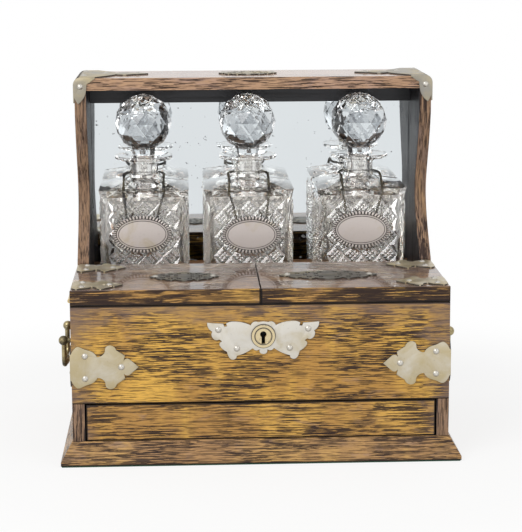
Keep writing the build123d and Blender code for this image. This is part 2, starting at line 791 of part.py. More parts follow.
with BuildPart() as lock_case:
    block(
        (lock_x - lock_half_width, lock_x + lock_half_width),
        (y_lock_front, y_lock_back - lock_wall),
        (z_lock_foot, z_case_top),
    )
    block(
        (lock_x - lock_half_width - lock_plate_overhang, lock_x + lock_half_width + lock_plate_overhang),
        (y_lock_front, y_lock_back),
        (z_case_top - lock_plate_thick, z_case_top),
    )
    block(
        x_cavity,
        (y_lock_front + lock_wall, y_lock_back - lock_wall),
        (z_lock_foot + lock_wall, z_case_top - lock_plate_thick),
        mode=Mode.SUBTRACT,
    )
    for x_link in link_x.values():
        block(
            (x_link - link_thick / 2 - lock_slot_gap, x_link + link_thick / 2 + lock_slot_gap),
            (y_link - link_width / 2 - lock_slot_gap / 2, y_link + link_width / 2 + lock_slot_gap / 2),
            (z_case_top - lock_plate_thick, z_case_top),
            mode=Mode.SUBTRACT,
        )
        block(
            (x_link - lug_width / 2, x_link + lug_width / 2),
            (y_lock_front + lock_wall, y_lock_back - lock_wall),
            (z_bolt - bolt_gap - lug_width, z_bolt - bolt_gap),
        )
    with BuildSketch(escutcheon_face.offset(y_front - y_lock_front)):
        draw_keyhole(Mode.ADD)
    extrude(amount=-lock_wall, mode=Mode.SUBTRACT)
lock_case.part.label = "lock_case"
export_step(lock_case.part, "parts/lock_case.step")

with BuildPart() as lock_cover:
    block(
        (lock_x - lock_half_width, lock_x + lock_half_width),
        (y_lock_back - lock_wall, y_lock_back),
        (z_lock_foot, z_case_top - lock_plate_thick),
    )
    pin_face = Plane(
        origin=(lock_x, y_lock_back - lock_wall, z_ring + keyhole_rise), x_dir=(1, 0, 0), z_dir=(0, -1, 0)
    )
    with Locations(pin_face.location):
        Cylinder(key_pin_radius, key_pin_length, align=(Align.CENTER, Align.CENTER, Align.MIN))
lock_cover.part.label = "lock_cover"
export_step(lock_cover.part, "parts/lock_cover.step")

with BuildPart() as lock_bolt:
    x_tips = [x_link - link_thick / 2 - bolt_tip_gap for x_link in link_x.values()]
    x_arms = [x_tip - bolt_arm_length for x_tip in x_tips]
    block((x_arms[0] - bolt_arm_width, x_arms[1]), y_bolt, (z_bolt, z_bolt_top))
    for x_arm, x_tip in zip(x_arms, x_tips):
        block((x_arm - bolt_arm_width, x_arm), y_bolt, (z_bolt, z_eye + bolt_prong / 2))
        block(
            (x_arm - bolt_arm_width, x_tip),
            (y_link - bolt_prong / 2, y_link + bolt_prong / 2),
            (z_eye - bolt_prong / 2, z_eye + bolt_prong / 2),
        )
lock_bolt.part.label = "lock_bolt"
export_step(lock_bolt.part, "parts/lock_bolt.step")

for name in sides:
    with BuildPart() as lock_link:
        block(
            (link_x[name] - link_plate_length / 2, link_x[name] + link_plate_length / 2),
            (y_link - link_plate_width / 2, y_link + link_plate_width / 2),
            (z_lid, z_lid + link_plate_thick),
        )
        block(
            (link_x[name] - link_thick / 2, link_x[name] + link_thick / 2),
            (y_link - link_width / 2, y_link + link_width / 2),
            (z_lid - link_drop, z_lid),
        )
        block(
            (link_x[name] - link_thick, link_x[name] + link_thick),
            (y_link - eye_width / 2, y_link + eye_width / 2),
            (z_eye - eye_height / 2, z_eye + eye_height / 2),
            mode=Mode.SUBTRACT,
        )
    lock_link.part.label = f"lock_link_{name}"
    export_step(lock_link.part, f"parts/lock_link_{name}.step")

# ------------------------------------------------------------------ drawer
z_side_rim = z_drawer_rim - edge_round
z_tray = z_drawer + drawer_bottom_rise
y_sides = (y_front + drawer_front_thick, y_drawer_back)
x_tray = x_drawer - drawer_side_thick

with BuildPart() as drawer_front:
    block((-x_drawer, x_drawer), (y_front, y_front + drawer_front_thick), (z_drawer, z_drawer_rim))
    fillet(drawer_front.faces().sort_by(Axis.Y)[0].edges(), edge_round)
drawer_front.part.label = "drawer_front"
export_step(drawer_front.part, "parts/drawer_front.step")

with BuildPart() as drawer_sides:
    for side in sides.values():
        block(sorted((side * x_tray, side * x_drawer)), y_sides, (z_drawer, z_side_rim))
    with Locations((x_plunger, plunger_y, z_side_rim)):
        Cylinder(
            plunger_radius + plunger_gap,
            z_side_rim - (z_plunger - plunger_travel) + plunger_socket_spare,
            align=(Align.CENTER, Align.CENTER, Align.MAX),
            mode=Mode.SUBTRACT,
        )
drawer_sides.part.label = "drawer_sides"
export_step(drawer_sides.part, "parts/drawer_sides.step")

with BuildPart() as drawer_back:
    block(
        (-x_tray, x_tray),
        (y_drawer_back - drawer_back_thick, y_drawer_back),
        (z_drawer, z_side_rim - drawer_back_drop),
    )
drawer_back.part.label = "drawer_back"
export_step(drawer_back.part, "parts/drawer_back.step")

with BuildPart() as drawer_bottom:
    y_ends = (y_sides[0], y_drawer_back - drawer_back_thick)
    block((-x_tray, x_tray), y_ends, (z_tray, z_tray + drawer_bottom_thick))
drawer_bottom.part.label = "drawer_bottom"
export_step(drawer_bottom.part, "parts/drawer_bottom.step")

# a bowed strip on the back panel, pressed by the shut drawer
with BuildPart() as drawer_spring:
    y_bow = y_drawer_back + spring_gap
    x_foot = spring_half_span + spring_foot
    with BuildSketch(Plane.XY.offset((z_plinth_top + z_drawer_top - spring_height) / 2)):
        with BuildLine():
            Line((-x_foot, y_back_face), (-spring_half_span - spring_thick, y_back_face))
            ThreePointArc(
                (-spring_half_span - spring_thick, y_back_face),
                (0, y_bow + spring_thick),
                (spring_half_span + spring_thick, y_back_face),
            )
            Polyline(
                (spring_half_span + spring_thick, y_back_face),
                (x_foot, y_back_face),
                (x_foot, y_back_face - spring_thick),
                (spring_half_span, y_back_face - spring_thick),
            )
            ThreePointArc(
                (spring_half_span, y_back_face - spring_thick),
                (0, y_bow),
                (-spring_half_span, y_back_face - spring_thick),
            )
            Polyline(
                (-spring_half_span, y_back_face - spring_thick),
                (-x_foot, y_back_face - spring_thick),
                (-x_foot, y_back_face),
            )
        make_face()
    extrude(amount=spring_height)
drawer_spring.part.label = "drawer_spring"
export_step(drawer_spring.part, "parts/drawer_spring.step")

# the plunger is drawn raised: pressed down, it drops into the drawer's left side
with BuildPart() as drawer_plunger:
    z_knob = z_floor + lining_thick + plunger_travel + plunger_floor_gap
    with Locations((x_plunger, plunger_y, z_plunger)):
        Cylinder(plunger_radius, z_knob - z_plunger, align=(Align.CENTER, Align.CENTER, Align.MIN))
    with Locations((x_plunger, plunger_y, z_knob)):
        Cylinder(plunger_knob_radius, plunger_knob_height, align=(Align.CENTER, Align.CENTER, Align.MIN))
    fillet(drawer_plunger.faces().sort_by(Axis.Z)[-1].edges(), plunger_knob_height / 3)
drawer_plunger.part.label = "drawer_plunger"
export_step(drawer_plunger.part, "parts/drawer_plunger.step")

# ------------------------------------------------------------------ mounts on the front
with BuildPart() as strap_mounts:
    edge_height = 2 * strap_runs[0][0][1] * strap_scale[1]
    for name in sides:
        for face in (front_faces[name], side_faces[name]):
            with BuildSketch(face):
                with BuildLine():
                    half = scaled(strap_runs, *strap_scale)
                    draw_runs(half + mirrored_runs(half, 1, -1))
                    Line((0, -edge_height / 2), (0, edge_height / 2))
                make_face()
                Rectangle(plate_thick, edge_height, align=(Align.MAX, Align.CENTER))
            extrude(amount=plate_thick)
    drill_for_pins(front_panel_pins + side_panel_pins["left"] + side_panel_pins["right"])
strap_mounts.part.label = "strap_mounts"
export_step(strap_mounts.part, "parts/strap_mounts.step")

with BuildPart() as escutcheon_plate:
    with BuildSketch(escutcheon_face):
        with BuildLine():
            draw_runs(escutcheon_runs + mirrored_runs(escutcheon_runs, -1, 1))
        make_face()
        draw_keyhole(Mode.SUBTRACT)
    extrude(amount=plate_thick)
    drill_for_pins(front_panel_pins)
escutcheon_plate.part.label = "escutcheon_plate"
export_step(escutcheon_plate.part, "parts/escutcheon_plate.step")

with BuildPart() as keyhole_ring:
    with BuildSketch(escutcheon_face.offset(plate_thick)):
        Circle(ring_radius)
        draw_keyhole(Mode.SUBTRACT)
    extrude(amount=ring_floor_thick)
    with BuildSketch(escutcheon_face.offset(plate_thick)):
        Circle(ring_radius)
        Circle(ring_inner_radius, mode=Mode.SUBTRACT)
    extrude(amount=ring_height)
    fillet(keyhole_ring.faces().sort_by(Axis.Y)[0].edges(), ring_height / 3)
keyhole_ring.part.label = "keyhole_ring"
export_step(keyhole_ring.part, "parts/keyhole_ring.step")

# ------------------------------------------------------------------ mounts on the hood
# a sheet folded over the hood's rounded ends, cut to the shapes on its top, front and sides
with BuildPart() as hood_sheet:
    x_sheet = x_side + plate_thick
    z_sheet = z_hood_top - hood_tongue_drop
    block((-x_sheet, x_sheet), (y_hood_front - plate_thick, y_back), (z_sheet, z_hood_top + plate_thick))
    fillet(hood_sheet.faces().sort_by(Axis.Z)[-1].edges().filter_by(Axis.Y), hood_corner + plate_thick)
    with BuildSketch(Plane(origin=(0, y_hood_front, z_hood_top), x_dir=(1, 0, 0), z_dir=(0, 1, 0))):
        Rectangle(case_width, hood_tongue_drop, align=(Align.CENTER, Align.MIN))
        fillet(vertices().group_by(Axis.Y)[0], hood_corner)
    extrude(amount=hood_depth, mode=Mode.SUBTRACT)

with BuildPart() as hood_shapes:
    for side in sides.values():
        with BuildSketch(hood_face(side).offset(-hood_corner)):
            with BuildLine():
                draw_runs(hood_runs + mirrored_runs(hood_runs, 1, -1))
                Line((0, -hood_half), (0, hood_half))
            make_face()
        extrude(amount=hood_corner + plate_thick)
        with BuildSketch(hood_front_face(side)):
            with BuildLine():
                tongue = [[(x, y * -side) for x, y in run] for run in hood_tongue]
                Line((0, 0), tongue[0][0])
                draw_runs(tongue)
                Line(tongue[-1][-1], (0, 0))
            make_face()
        extrude(amount=plate_thick)
        x_ends = sorted((side * x_side, side * x_sheet))
        z_side = z_hood_top - hood_side_drop
        block(x_ends, (y_hood_front - plate_thick, y_back), (z_side, z_hood_top + plate_thick))
        x_ends = sorted((side * (x_side - hood_runs[0][1][0]), side * x_sheet))
        z_fold = z_hood_top - plate_thick
        block(x_ends, (y_hood_front - plate_thick, y_hood_front), (z_fold, z_hood_top + plate_thick))

with BuildPart() as hood_end_mounts:
    add(hood_sheet.part)
    add(hood_shapes.part, mode=Mode.INTERSECT)
    drill_for_pins(hood_board_pins)
hood_end_mounts.part.label = "hood_end_mounts"
export_step(hood_end_mounts.part, "parts/hood_end_mounts.step")


def plaque_outline(length, width):
    """A pierced strapwork plaque, drawn round its centre."""
    quarter = scaled(plaque_quarter, length / 2, width / 2)
    upper = quarter + mirrored_runs(quarter, -1, 1)
    with BuildSketch() as plaque:
        with BuildLine():
            draw_runs(upper + mirrored_runs(upper, 1, -1))
        make_face()
        for x_share, y_share, radius_share in plaque_openings:
            places = [
                (x_sign * x_share * length / 2, y_sign * y_share * width / 2)
                for x_sign in (-1, 1)
                for y_sign in (-1, 1)
            ]
            with Locations(*places):
                Circle(radius_share * width, mode=Mode.SUBTRACT)
    return plaque.sketch


hood_plaque = plaque_outline(hood_centre_length, hood_centre_width)
lid_plaques = {name: plaque_outline(plaque_places[name][1], plaque_width) for name in sides}

with BuildPart() as hood_centre_mount:
    with BuildSketch(hood_centre_face):
        add(hood_plaque)
    extrude(amount=plate_thick)
    drill_for_pins(hood_board_pins)
hood_centre_mount.part.label = "hood_centre_mount"
export_step(hood_centre_mount.part, "parts/hood_centre_mount.step")

# ------------------------------------------------------------------ mounts on the lids
for name, side in sides.items():
    with BuildPart() as lid_straps:
        for y_mount in lid_edges.values():
            with BuildSketch(lid_face(side, y_mount)):
                with BuildLine():
                    half = scaled(strap_runs, *lid_strap_scale)
                    draw_runs(half + mirrored_runs(half, 1, -1))
                    Line((0, -half[0][0][1]), (0, half[0][0][1]))
                make_face()
            extrude(amount=plate_thick)
        drill_for_pins(lid_mount_pins[name])
    lid_straps.part.label = f"lid_straps_{name}"
    export_step(lid_straps.part, f"parts/lid_straps_{name}.step")

    with BuildPart() as lid_plaque:
        with BuildSketch(plaque_face(name)):
            add(lid_plaques[name])
        extrude(amount=plate_thick)
        drill_for_pins(lid_mount_pins[name])
    lid_plaque.part.label = f"lid_plaque_{name}"
    export_step(lid_plaque.part, f"parts/lid_plaque_{name}.step")

# ------------------------------------------------------------------ domed pins
dome_radius = (pin_head_radius**2 + pin_head_height**2) / (2 * pin_head_height)
dome_middle = pin_head_height - dome_radius
with BuildPart() as pin:
    Cylinder(pin_shank_radius, pin_shank_length, align=(Align.CENTER, Align.CENTER, Align.MAX))
    with BuildSketch(Plane.XZ):
        with Locations((0, dome_middle)):
            Circle(dome_radius)
        Rectangle(2 * dome_radius, 2 * dome_radius, align=(Align.CENTER, Align.MAX), mode=Mode.SUBTRACT)
        Rectangle(2 * dome_radius, 2 * dome_radius, align=(Align.MAX, Align.CENTER), mode=Mode.SUBTRACT)
    revolve(axis=Axis.Z)

all_case_pins = front_panel_pins + hood_board_pins + side_panel_pins["left"] + side_panel_pins["right"]
with BuildPart() as case_pins:
    with Locations(*all_case_pins):
        add(pin.part)
case_pins.part.label = "case_pins"
export_step(case_pins.part, "parts/case_pins.step")

for name in sides:
    with BuildPart() as lid_pins:
        with Locations(*lid_mount_pins[name]):
            add(pin.part)
    lid_pins.part.label = f"lid_pins_{name}"
    export_step(lid_pins.part, f"parts/lid_pins_{name}.step")

# ------------------------------------------------------------------ handles
handle_z = {"left": handle_height_left, "right": handle_height_right}
x_ball = x_side + ball_reach

with BuildPart() as handle_posts:
    for name, side in sides.items():
        for end in (-1, 1):
            y_post = y_middle + end * handle_spacing / 2
            foot = (side * x_side, y_post, handle_z[name])
            with Locations(Plane(origin=foot, x_dir=(0, 1, 0), z_dir=(side, 0, 0)).location):
                Cylinder(rose_radius, rose_thick, align=(Align.CENTER, Align.CENTER, Align.MIN))
                Cylinder(stem_radius, ball_reach, align=(Align.CENTER, Align.CENTER, Align.MIN))
            with Locations((side * x_ball, y_post, handle_z[name])):
                Sphere(ball_radius)
            y_mouth = y_post - end * ball_radius
            mouth = (side * x_ball, y_mouth, handle_z[name])
            socket_depth = bail_pin_depth + bail_socket_spare
            with Locations(Plane(origin=mouth, x_dir=(1, 0, 0), z_dir=(0, end, 0)).location):
                Cylinder(
                    bail_pin_radius + running_gap,
                    2 * socket_depth,
                    mode=Mode.SUBTRACT,
                )
handle_posts.part.label = "handle_posts"
export_step(handle_posts.part, "parts/handle_posts.step")

for name, side in sides.items():
    with BuildPart() as handle_bail:
        y_arm = handle_spacing / 2 - ball_radius - bail_arm_gap - bail_radius
        z_top = handle_z[name]
        z_grip = z_top - bail_drop
        with BuildLine():
            FilletPolyline(
                (side * x_ball, y_middle - y_arm, z_top),
                (side * x_ball, y_middle - y_arm, z_grip),
                (side * x_ball, y_middle + y_arm, z_grip),
                (side * x_ball, y_middle + y_arm, z_top),
                radius=bail_corner,
            )
        with BuildSketch(Plane(origin=(side * x_ball, y_middle - y_arm, z_top), z_dir=(0, 0, -1))):
            Circle(bail_radius)
        sweep()
        for end in (-1, 1):
            with Locations((side * x_ball, y_middle + end * y_arm, z_top)):
                Sphere(bail_radius)
            pin_start = Plane(
                origin=(side * x_ball, y_middle + end * y_arm, z_top), x_dir=(1, 0, 0), z_dir=(0, end, 0)
            )
            pin_length = handle_spacing / 2 - ball_radius - y_arm + bail_pin_depth
            with Locations(pin_start.location):
                Cylinder(bail_pin_radius, pin_length, align=(Align.CENTER, Align.CENTER, Align.MIN))
        grip_middle = (side * x_ball, y_middle, z_grip)
        with BuildSketch(Plane(origin=grip_middle, x_dir=(0, 1, 0), z_dir=(side, 0, 0))):
            with BuildLine():
                half_grip = grip_length / 2
                Line((-half_grip, 0), (half_grip, 0))
                Line((half_grip, 0), (half_grip, bail_radius))
                ThreePointArc((half_grip, bail_radius), (0, grip_radius), (-half_grip, bail_radius))
                Line((-half_grip, bail_radius), (-half_grip, 0))
            make_face()
        revolve(axis=Axis(grip_middle, (0, 1, 0)))
    handle_bail.part.label = f"handle_bail_{name}"
    export_step(handle_bail.part, f"parts/handle_bail_{name}.step")

# ------------------------------------------------------------------ decanters
octagon_cut = shoulder_seat / (2 + 2**0.5)

for name, x_decanter in decanter_x.items():
    with BuildPart() as decanter:
        with BuildSketch(Plane(origin=(x_decanter, decanter_y, z_stand))):
            Rectangle(decanter_width, decanter_depth)
            chamfer(vertices(), decanter_corner)
        extrude(amount=decanter_body_height)
        with BuildSketch(Plane(origin=(x_decanter, decanter_y, z_shoulder))):
            Rectangle(decanter_width, decanter_depth)
            chamfer(vertices(), decanter_corner)
        with BuildSketch(Plane(origin=(x_decanter, decanter_y, z_neck))):
            Rectangle(shoulder_seat, shoulder_seat)
            chamfer(vertices(), octagon_cut)
        loft(ruled=True)
        with Locations((x_decanter, decanter_y, z_neck)):
            Cylinder(neck_radius, neck_height, align=(Align.CENTER, Align.CENTER, Align.MIN))
        with Locations((x_decanter, decanter_y, z_lip)):
            Cylinder(lip_radius, lip_thick, align=(Align.CENTER, Align.CENTER, Align.MIN))
        rounds = decanter.edges().filter_by(GeomType.CIRCLE)
        fillet([edge for edge in rounds if abs(edge.radius - lip_radius) < lip_round], lip_round)
        with BuildSketch(Plane(origin=(x_decanter, decanter_y, z_stand + decanter_floor))):
            Rectangle(decanter_width - 2 * decanter_wall, decanter_depth - 2 * decanter_wall)
            chamfer(vertices(), decanter_corner)
        extrude(amount=decanter_body_height - decanter_floor - decanter_wall / 2, mode=Mode.SUBTRACT)
        with Locations((x_decanter, decanter_y, z_shoulder - decanter_wall)):
            Cylinder(
                bore_radius,
                z_lip_top - z_shoulder + decanter_wall,
                align=(Align.CENTER, Align.CENTER, Align.MIN),
                mode=Mode.SUBTRACT,
            )
    decanter.part.label = f"decanter_{name}"
    export_step(decanter.part, f"parts/decanter_{name}.step")

# ------------------------------------------------------------------ stoppers: faceted balls
for name, x_decanter in decanter_x.items():
    with BuildPart() as stopper:
        z_ball = z_lip_top + stopper_rise
        for band in range(stopper_bands + 1):
            angle = radians(-90 + 180 * (band + 0.5) / (stopper_bands + 1))
            band_radius = stopper_radius * cos(angle)
            z_band = z_ball + stopper_radius * sin(angle)
            with BuildSketch(Plane(origin=(x_decanter, decanter_y, z_band))):
                RegularPolygon(band_radius, stopper_sides)
        loft(ruled=True)
        with Locations((x_decanter, decanter_y, z_lip_top)):
            Cylinder(
                stopper_collar_radius,
                stopper_rise - stopper_radius * 0.75,
                align=(Align.CENTER, Align.CENTER, Align.MIN),
            )
            Cone(
                plug_end_radius,
                plug_top_radius,
                plug_length,
                align=(Align.CENTER, Align.CENTER, Align.MAX),
            )
    stopper.part.label = f"stopper_{name}"
    export_step(stopper.part, f"parts/stopper_{name}.step")

# ------------------------------------------------------------------ labels on their chains
chain_stand = link_ring_radius + link_wire_radius + chain_gap
chain_pitch = 2 * (link_ring_radius - link_wire_radius) - link_play
shoulder_slope = shoulder_rise / ((decanter_depth - shoulder_seat) / 2)
y_glass = -decanter_depth / 2
y_chain = y_glass - chain_stand


def chain_route(hole_offset, z_hole, side):
    """Half of a chain's route from the label's hole, up the glass and round behind the neck."""
    x_loop = side * chain_loop_radius
    z_loop = z_neck + chain_stand
    return [
        (hole_offset, y_chain, z_hole),
        ((hole_offset + x_loop) / 2, y_chain, (z_hole + z_shoulder) / 2),
        (x_loop, y_chain, z_shoulder - chain_stand),
        (x_loop, y_glass - 0.75 * chain_stand, z_shoulder + 0.75 * chain_stand),
        (x_loop, y_glass + chain_stand, z_shoulder + chain_stand * (1.15 + shoulder_slope)),
        (x_loop, y_glass * 0.5, z_loop),
        (x_loop, 0, z_loop),
        (x_loop * cos(radians(45)), chain_loop_radius * sin(radians(45)), z_loop),
    ]


def surface_normal(y, z):
    """Which way the glass faces under the chain: forward on the body, up on the shoulder."""
    if z < z_shoulder - chain_stand:
        return Vector(0, -1, 0)
    if y < y_glass + chain_stand:
        return Vector(0, -1, 1)
    return Vector(0, 0, 1)


for name, x_decanter in decanter_x.items():
    x_label = label_offset[name]
    rim_drop = (label_height / 2) * (1 - (2 * label_hole_x / label_length) ** 2) ** 0.5
    z_hole = label_z[name] + rim_drop
    glass_place = Location((x_decanter, decanter_y, 0))
    label_middle = (x_decanter + x_label, decanter_y + y_chain, label_z[name])
    label_face = Plane(origin=label_middle, x_dir=(1, 0, 0), z_dir=(0, -1, 0))
    left_half = chain_route(x_label - label_hole_x, z_hole, -1)
    right_half = chain_route(x_label + label_hole_x, z_hole, 1)
    back_of_neck = (0, chain_loop_radius, z_neck + chain_stand)
    with BuildLine(mode=Mode.PRIVATE) as chain_line:
        Spline(*left_half, back_of_neck, *reversed(right_half))
    route = chain_line.edges()[0]
    link_count = int(route.length / chain_pitch)
    link_places = []
    for index in range(link_count + 1):
        share = index / link_count
        point = route.position_at(share)
        along = route.tangent_at(share)
        standing = along.cross(surface_normal(point.Y, point.Z)).normalized()
        flat = standing.cross(along)
        ring_normal = standing if index % 2 == 0 or index == link_count else flat
        link_places.append(glass_place * Plane(origin=point, x_dir=along, z_dir=ring_normal).location)
    with BuildPart() as decanter_label:
        with BuildSketch(label_face.offset(-label_thick / 2)):
            Ellipse(label_length / 2, label_height / 2)
        extrude(amount=label_thick)
        with BuildSketch(label_face.offset(-label_border_thick / 2)):
            Ellipse(label_length / 2, label_height / 2)
            Ellipse(label_panel_length / 2, label_panel_height / 2, mode=Mode.SUBTRACT)
        extrude(amount=label_border_thick)
        hole_places = [(x, -link_ring_radius + rim_drop) for x in (-label_hole_x, label_hole_x)]
        with BuildSketch(label_face):
            with Locations(*hole_places):
                Circle(label_hole_radius)
        extrude(amount=label_border_thick, both=True, mode=Mode.SUBTRACT)
        with Locations(*link_places):
            Torus(link_ring_radius, link_wire_radius)
    decanter_label.part.label = f"decanter_label_{name}"
    export_step(decanter_label.part, f"parts/decanter_label_{name}.step")
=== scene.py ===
"""An antique oak tantalus: case, mounts, cut-glass decanters and the stage they stand on."""

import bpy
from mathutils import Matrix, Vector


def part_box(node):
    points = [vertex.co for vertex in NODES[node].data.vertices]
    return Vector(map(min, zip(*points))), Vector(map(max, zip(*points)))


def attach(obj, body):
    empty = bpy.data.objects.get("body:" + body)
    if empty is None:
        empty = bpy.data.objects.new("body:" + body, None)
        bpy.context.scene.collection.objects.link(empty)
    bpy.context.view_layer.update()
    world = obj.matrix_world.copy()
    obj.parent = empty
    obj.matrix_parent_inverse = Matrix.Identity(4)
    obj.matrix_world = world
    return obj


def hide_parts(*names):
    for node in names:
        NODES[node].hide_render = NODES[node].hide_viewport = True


bl_info = {
    "name": "Tantalus",
    "version": (1, 0, 0),
    "blender": (4, 5, 0),
    "location": "3D View > Sidebar > Tantalus",
    "description": "Dresses a lock-up decanter case in oak, silver plate and cut glass",
    "category": "Object",
}

import math

import bmesh
import bpy
from mathutils import Matrix, Vector

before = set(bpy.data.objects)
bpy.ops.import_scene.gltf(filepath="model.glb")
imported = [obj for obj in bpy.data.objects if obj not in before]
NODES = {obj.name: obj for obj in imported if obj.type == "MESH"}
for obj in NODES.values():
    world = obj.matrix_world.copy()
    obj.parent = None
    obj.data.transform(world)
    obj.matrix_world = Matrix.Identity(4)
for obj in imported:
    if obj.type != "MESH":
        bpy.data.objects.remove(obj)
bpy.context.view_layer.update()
MM = 0.001
SIDES = ("left", "right")
PLACES = ("left", "centre", "right")
RAYS = ("Camera", "Glossy", "Transmission")

PHOTO_WIDTH = 522
PHOTO_HEIGHT = 532
SENSOR = 36.0  # mm along the frame's longer side

# ---------------------------------------------------------------- sizes and colours


def length(name, default, description):
    """A size in millimetres."""
    return bpy.props.FloatProperty(
        name=name, default=default, min=0.0, precision=2, description=description + ", in mm"
    )


def repeats(name, default, least, description):
    """A whole number of repeats."""
    return bpy.props.IntProperty(name=name, default=default, min=least, description=description)


def turning(name, default, description):
    """A turn, in radians."""
    return bpy.props.FloatProperty(name=name, default=default, subtype="ANGLE", description=description)


def watts(name, default, description):
    """A lamp's power in watts."""
    return bpy.props.FloatProperty(name=name, default=default, subtype="POWER", description=description)


def fraction(name, default, description):
    """A part of one."""
    return bpy.props.FloatProperty(
        name=name, default=default, min=0.0, max=1.0, subtype="FACTOR", description=description
    )


def colour(name, default, description):
    """A linear colour."""
    return bpy.props.FloatVectorProperty(
        name=name, default=default, size=3, subtype="COLOR", min=0.0, max=1.0, description=description
    )


class TANTALUS_PG_colours(bpy.types.PropertyGroup):
    """Colours of the finishes."""

    honey: colour("Honey", (0.75, 0.430, 0.074), "Oak's lightest figure")
    amber: colour("Amber", (0.48, 0.252, 0.052), "Oak between the light figure and the grain")
    # Also, darkened, the painted shade in the gaps between parts.
    umber_and_gap_shade: colour("Umber", (0.024, 0.012, 0.009), "Oak's dark grain")
    # Also the colour of the painted sheen on the tops of polished oak.
    plum_and_sheen: colour("Plum", (0.31, 0.205, 0.162), "Oak where it is worn or aged")
    lining: colour("Lining wood", (0.16, 0.08, 0.035), "Stained wood inside the case")
    bare: colour("Bare wood", (0.50, 0.36, 0.21), "Unpolished wood of the well and drawer")
    # Also the painted shade on the side panels' inner faces.
    ebonised_and_shade: colour("Ebonised", (0.009, 0.010, 0.016), "Dark rail over the mirror")
    baize: colour("Baize", (0.012, 0.085, 0.040), "Wool cloth")
    silver: colour("Silver", (0.67, 0.64, 0.58), "Worn plate")
    label: colour("Label silver", (0.62, 0.57, 0.545), "Plate of the labels")
    silver_warm: colour("Warm silver", (0.50, 0.42, 0.26), "Plate that shows its base metal")
    # Also painted shade at the rims of the mounts, pins and keyhole ring, and in the keyhole.
    tarnish_and_shade: colour("Tarnish", (0.060, 0.052, 0.045), "Plate in the hollows")
    brass: colour("Brass", (0.66, 0.49, 0.20), "Polished brass")
    old_brass: colour("Old brass", (0.40, 0.33, 0.18), "Handles")
    steel: colour("Steel", (0.45, 0.45, 0.46), "Bolt and hinge pins")
    mirror: colour("Mirror", (0.74, 0.78, 0.80), "Silvered glass")
    foxing: colour("Foxing", (0.16, 0.17, 0.18), "Spots where the silvering is gone")
    crystal: colour("Crystal", (0.985, 0.992, 0.995), "Lead glass of the stoppers")
    # Painted reflection: some facets are painted this dark colour for the dark things they would reflect.
    painted_reflection: colour("Smoke", (0.20, 0.215, 0.24), "Facets that face something dark")
    crystal_warm: colour("Warm crystal", (0.998, 0.980, 0.955), "Lead glass of the decanters")


class TANTALUS_PG_glass(bpy.types.PropertyGroup):
    """Sizes of the decanters and stoppers, in millimetres."""

    corner: length("Corner", 7.0, "Chamfer of the body's upright edges")
    relief: length("Relief", 2.1, "How far the cutting stands out from the body's ground")
    band: length("Band", 3.2, "Width of the grooves between the diamonds")
    crown: length("Crown", 1.1, "Height of the small points on each diamond")
    notch: length("Notch", 1.2, "Depth of the cuts in the upright edges")
    cells: repeats("Cells", 4, 2, "Diamonds across a side")
    points: repeats("Points", 3, 1, "Small points along a diamond's side")
    plain_top: length("Plain top", 10.0, "Uncut band under the shoulder")
    shoulder_rise: length("Shoulder rise", 8.5, "Height of the sloping shoulder")
    shoulder_seat: length("Shoulder seat", 40.0, "Flat at the foot of the neck")
    neck: length("Neck", 31.0, "Neck across its flutes")
    neck_height: length("Neck height", 17.5, "Height of the neck")
    lip: length("Lip", 62.0, "Lip across its scallops")
    lip_thick: length("Lip thickness", 5.0, "Thickness of the lip")
    bore: length("Bore", 20.0, "Bore of the neck")
    wall: length("Wall", 6.5, "Wall of the body, with its cutting")
    floor: length("Floor", 9.0, "Thickness of the foot")
    ball: length("Ball", 57.0, "Stopper across its facets")
    ball_sides: repeats("Ball sides", 11, 5, "Facets round a stopper")
    ball_bands: repeats("Ball bands", 8, 4, "Rows of facets on a stopper")
    ball_turn: turning("Ball turn", math.radians(4.0), "How far a stopper is turned in its neck")
    ball_rise: length("Ball rise", 32.5, "Ball's centre above the lip")
    collar: length("Collar", 24.0, "Waist between ball and plug")
    plug: length("Plug", 19.2, "Plug where it enters the neck")
    plug_end: length("Plug's end", 18.0, "Plug at its foot")
    plug_length: length("Plug length", 19.0, "How far the plug reaches into the neck")


class TANTALUS_PG_labels(bpy.types.PropertyGroup):
    """Sizes of the labels and chains, in millimetres."""

    length: length("Length", 60.0, "Label across its border")
    height: length("Height", 39.5, "Label's height over its border")
    panel_length: length("Panel length", 46.5, "Bare oval inside the border")
    panel_height: length("Panel height", 26.5, "Bare oval inside the border")
    rays: repeats("Rays", 50, 8, "Rays of the border")
    thick: length("Thickness", 0.7, "Plate between the rays")
    crest: length("Crest", 1.2, "How far a ray stands above the plate")
    hole_x: length("Hole", 15.0, "Chain's hole from the label's middle")
    link: length("Link", 1.30, "Radius of a link")
    wire: length("Wire", 0.46, "Radius of a link's wire")
    stand: length("Stand", 2.9, "Chain's middle above the glass")
    loop: length("Loop", 19.6, "Radius of the chain round the neck")


class TANTALUS_PG_stage(bpy.types.PropertyGroup):
    """The view and the light."""

    camera: bpy.props.FloatVectorProperty(
        name="Camera",
        default=(-0.0700, -1.7150, 0.4819),
        size=3,
        subtype="TRANSLATION",
        unit="LENGTH",
        description="Where the camera stands",
    )
    yaw: turning("Yaw", 0.0438, "How far the camera turns to the right")
    pitch: turning("Pitch", 0.1829, "How far the camera looks down")
    roll: turning("Roll", 0.0046, "How far the camera tips sideways")
    reach: bpy.props.FloatProperty(
        name="Reach", default=1782.3, min=1.0, subtype="PIXEL", description="Focal length in pixels"
    )
    floor: colour("Floor", (0.86, 0.86, 0.85), "Pale plain floor")
    whiteness: fraction("Whiteness", 0.80, "How white the floor looks beside the case")
    ambient: fraction("Ambient", 0.62, "Even light from all round")
    key: watts("Key", 31.0, "Large lamp, front left")
    fill: watts("Fill", 8.0, "Large lamp, front right")


def settings(name):
    """One of the scene's groups of settings."""
    return getattr(bpy.context.scene, "tantalus_" + name)


# ---------------------------------------------------------------- finishes

POLISHED = 0.3  # gloss from which oak counts as polished


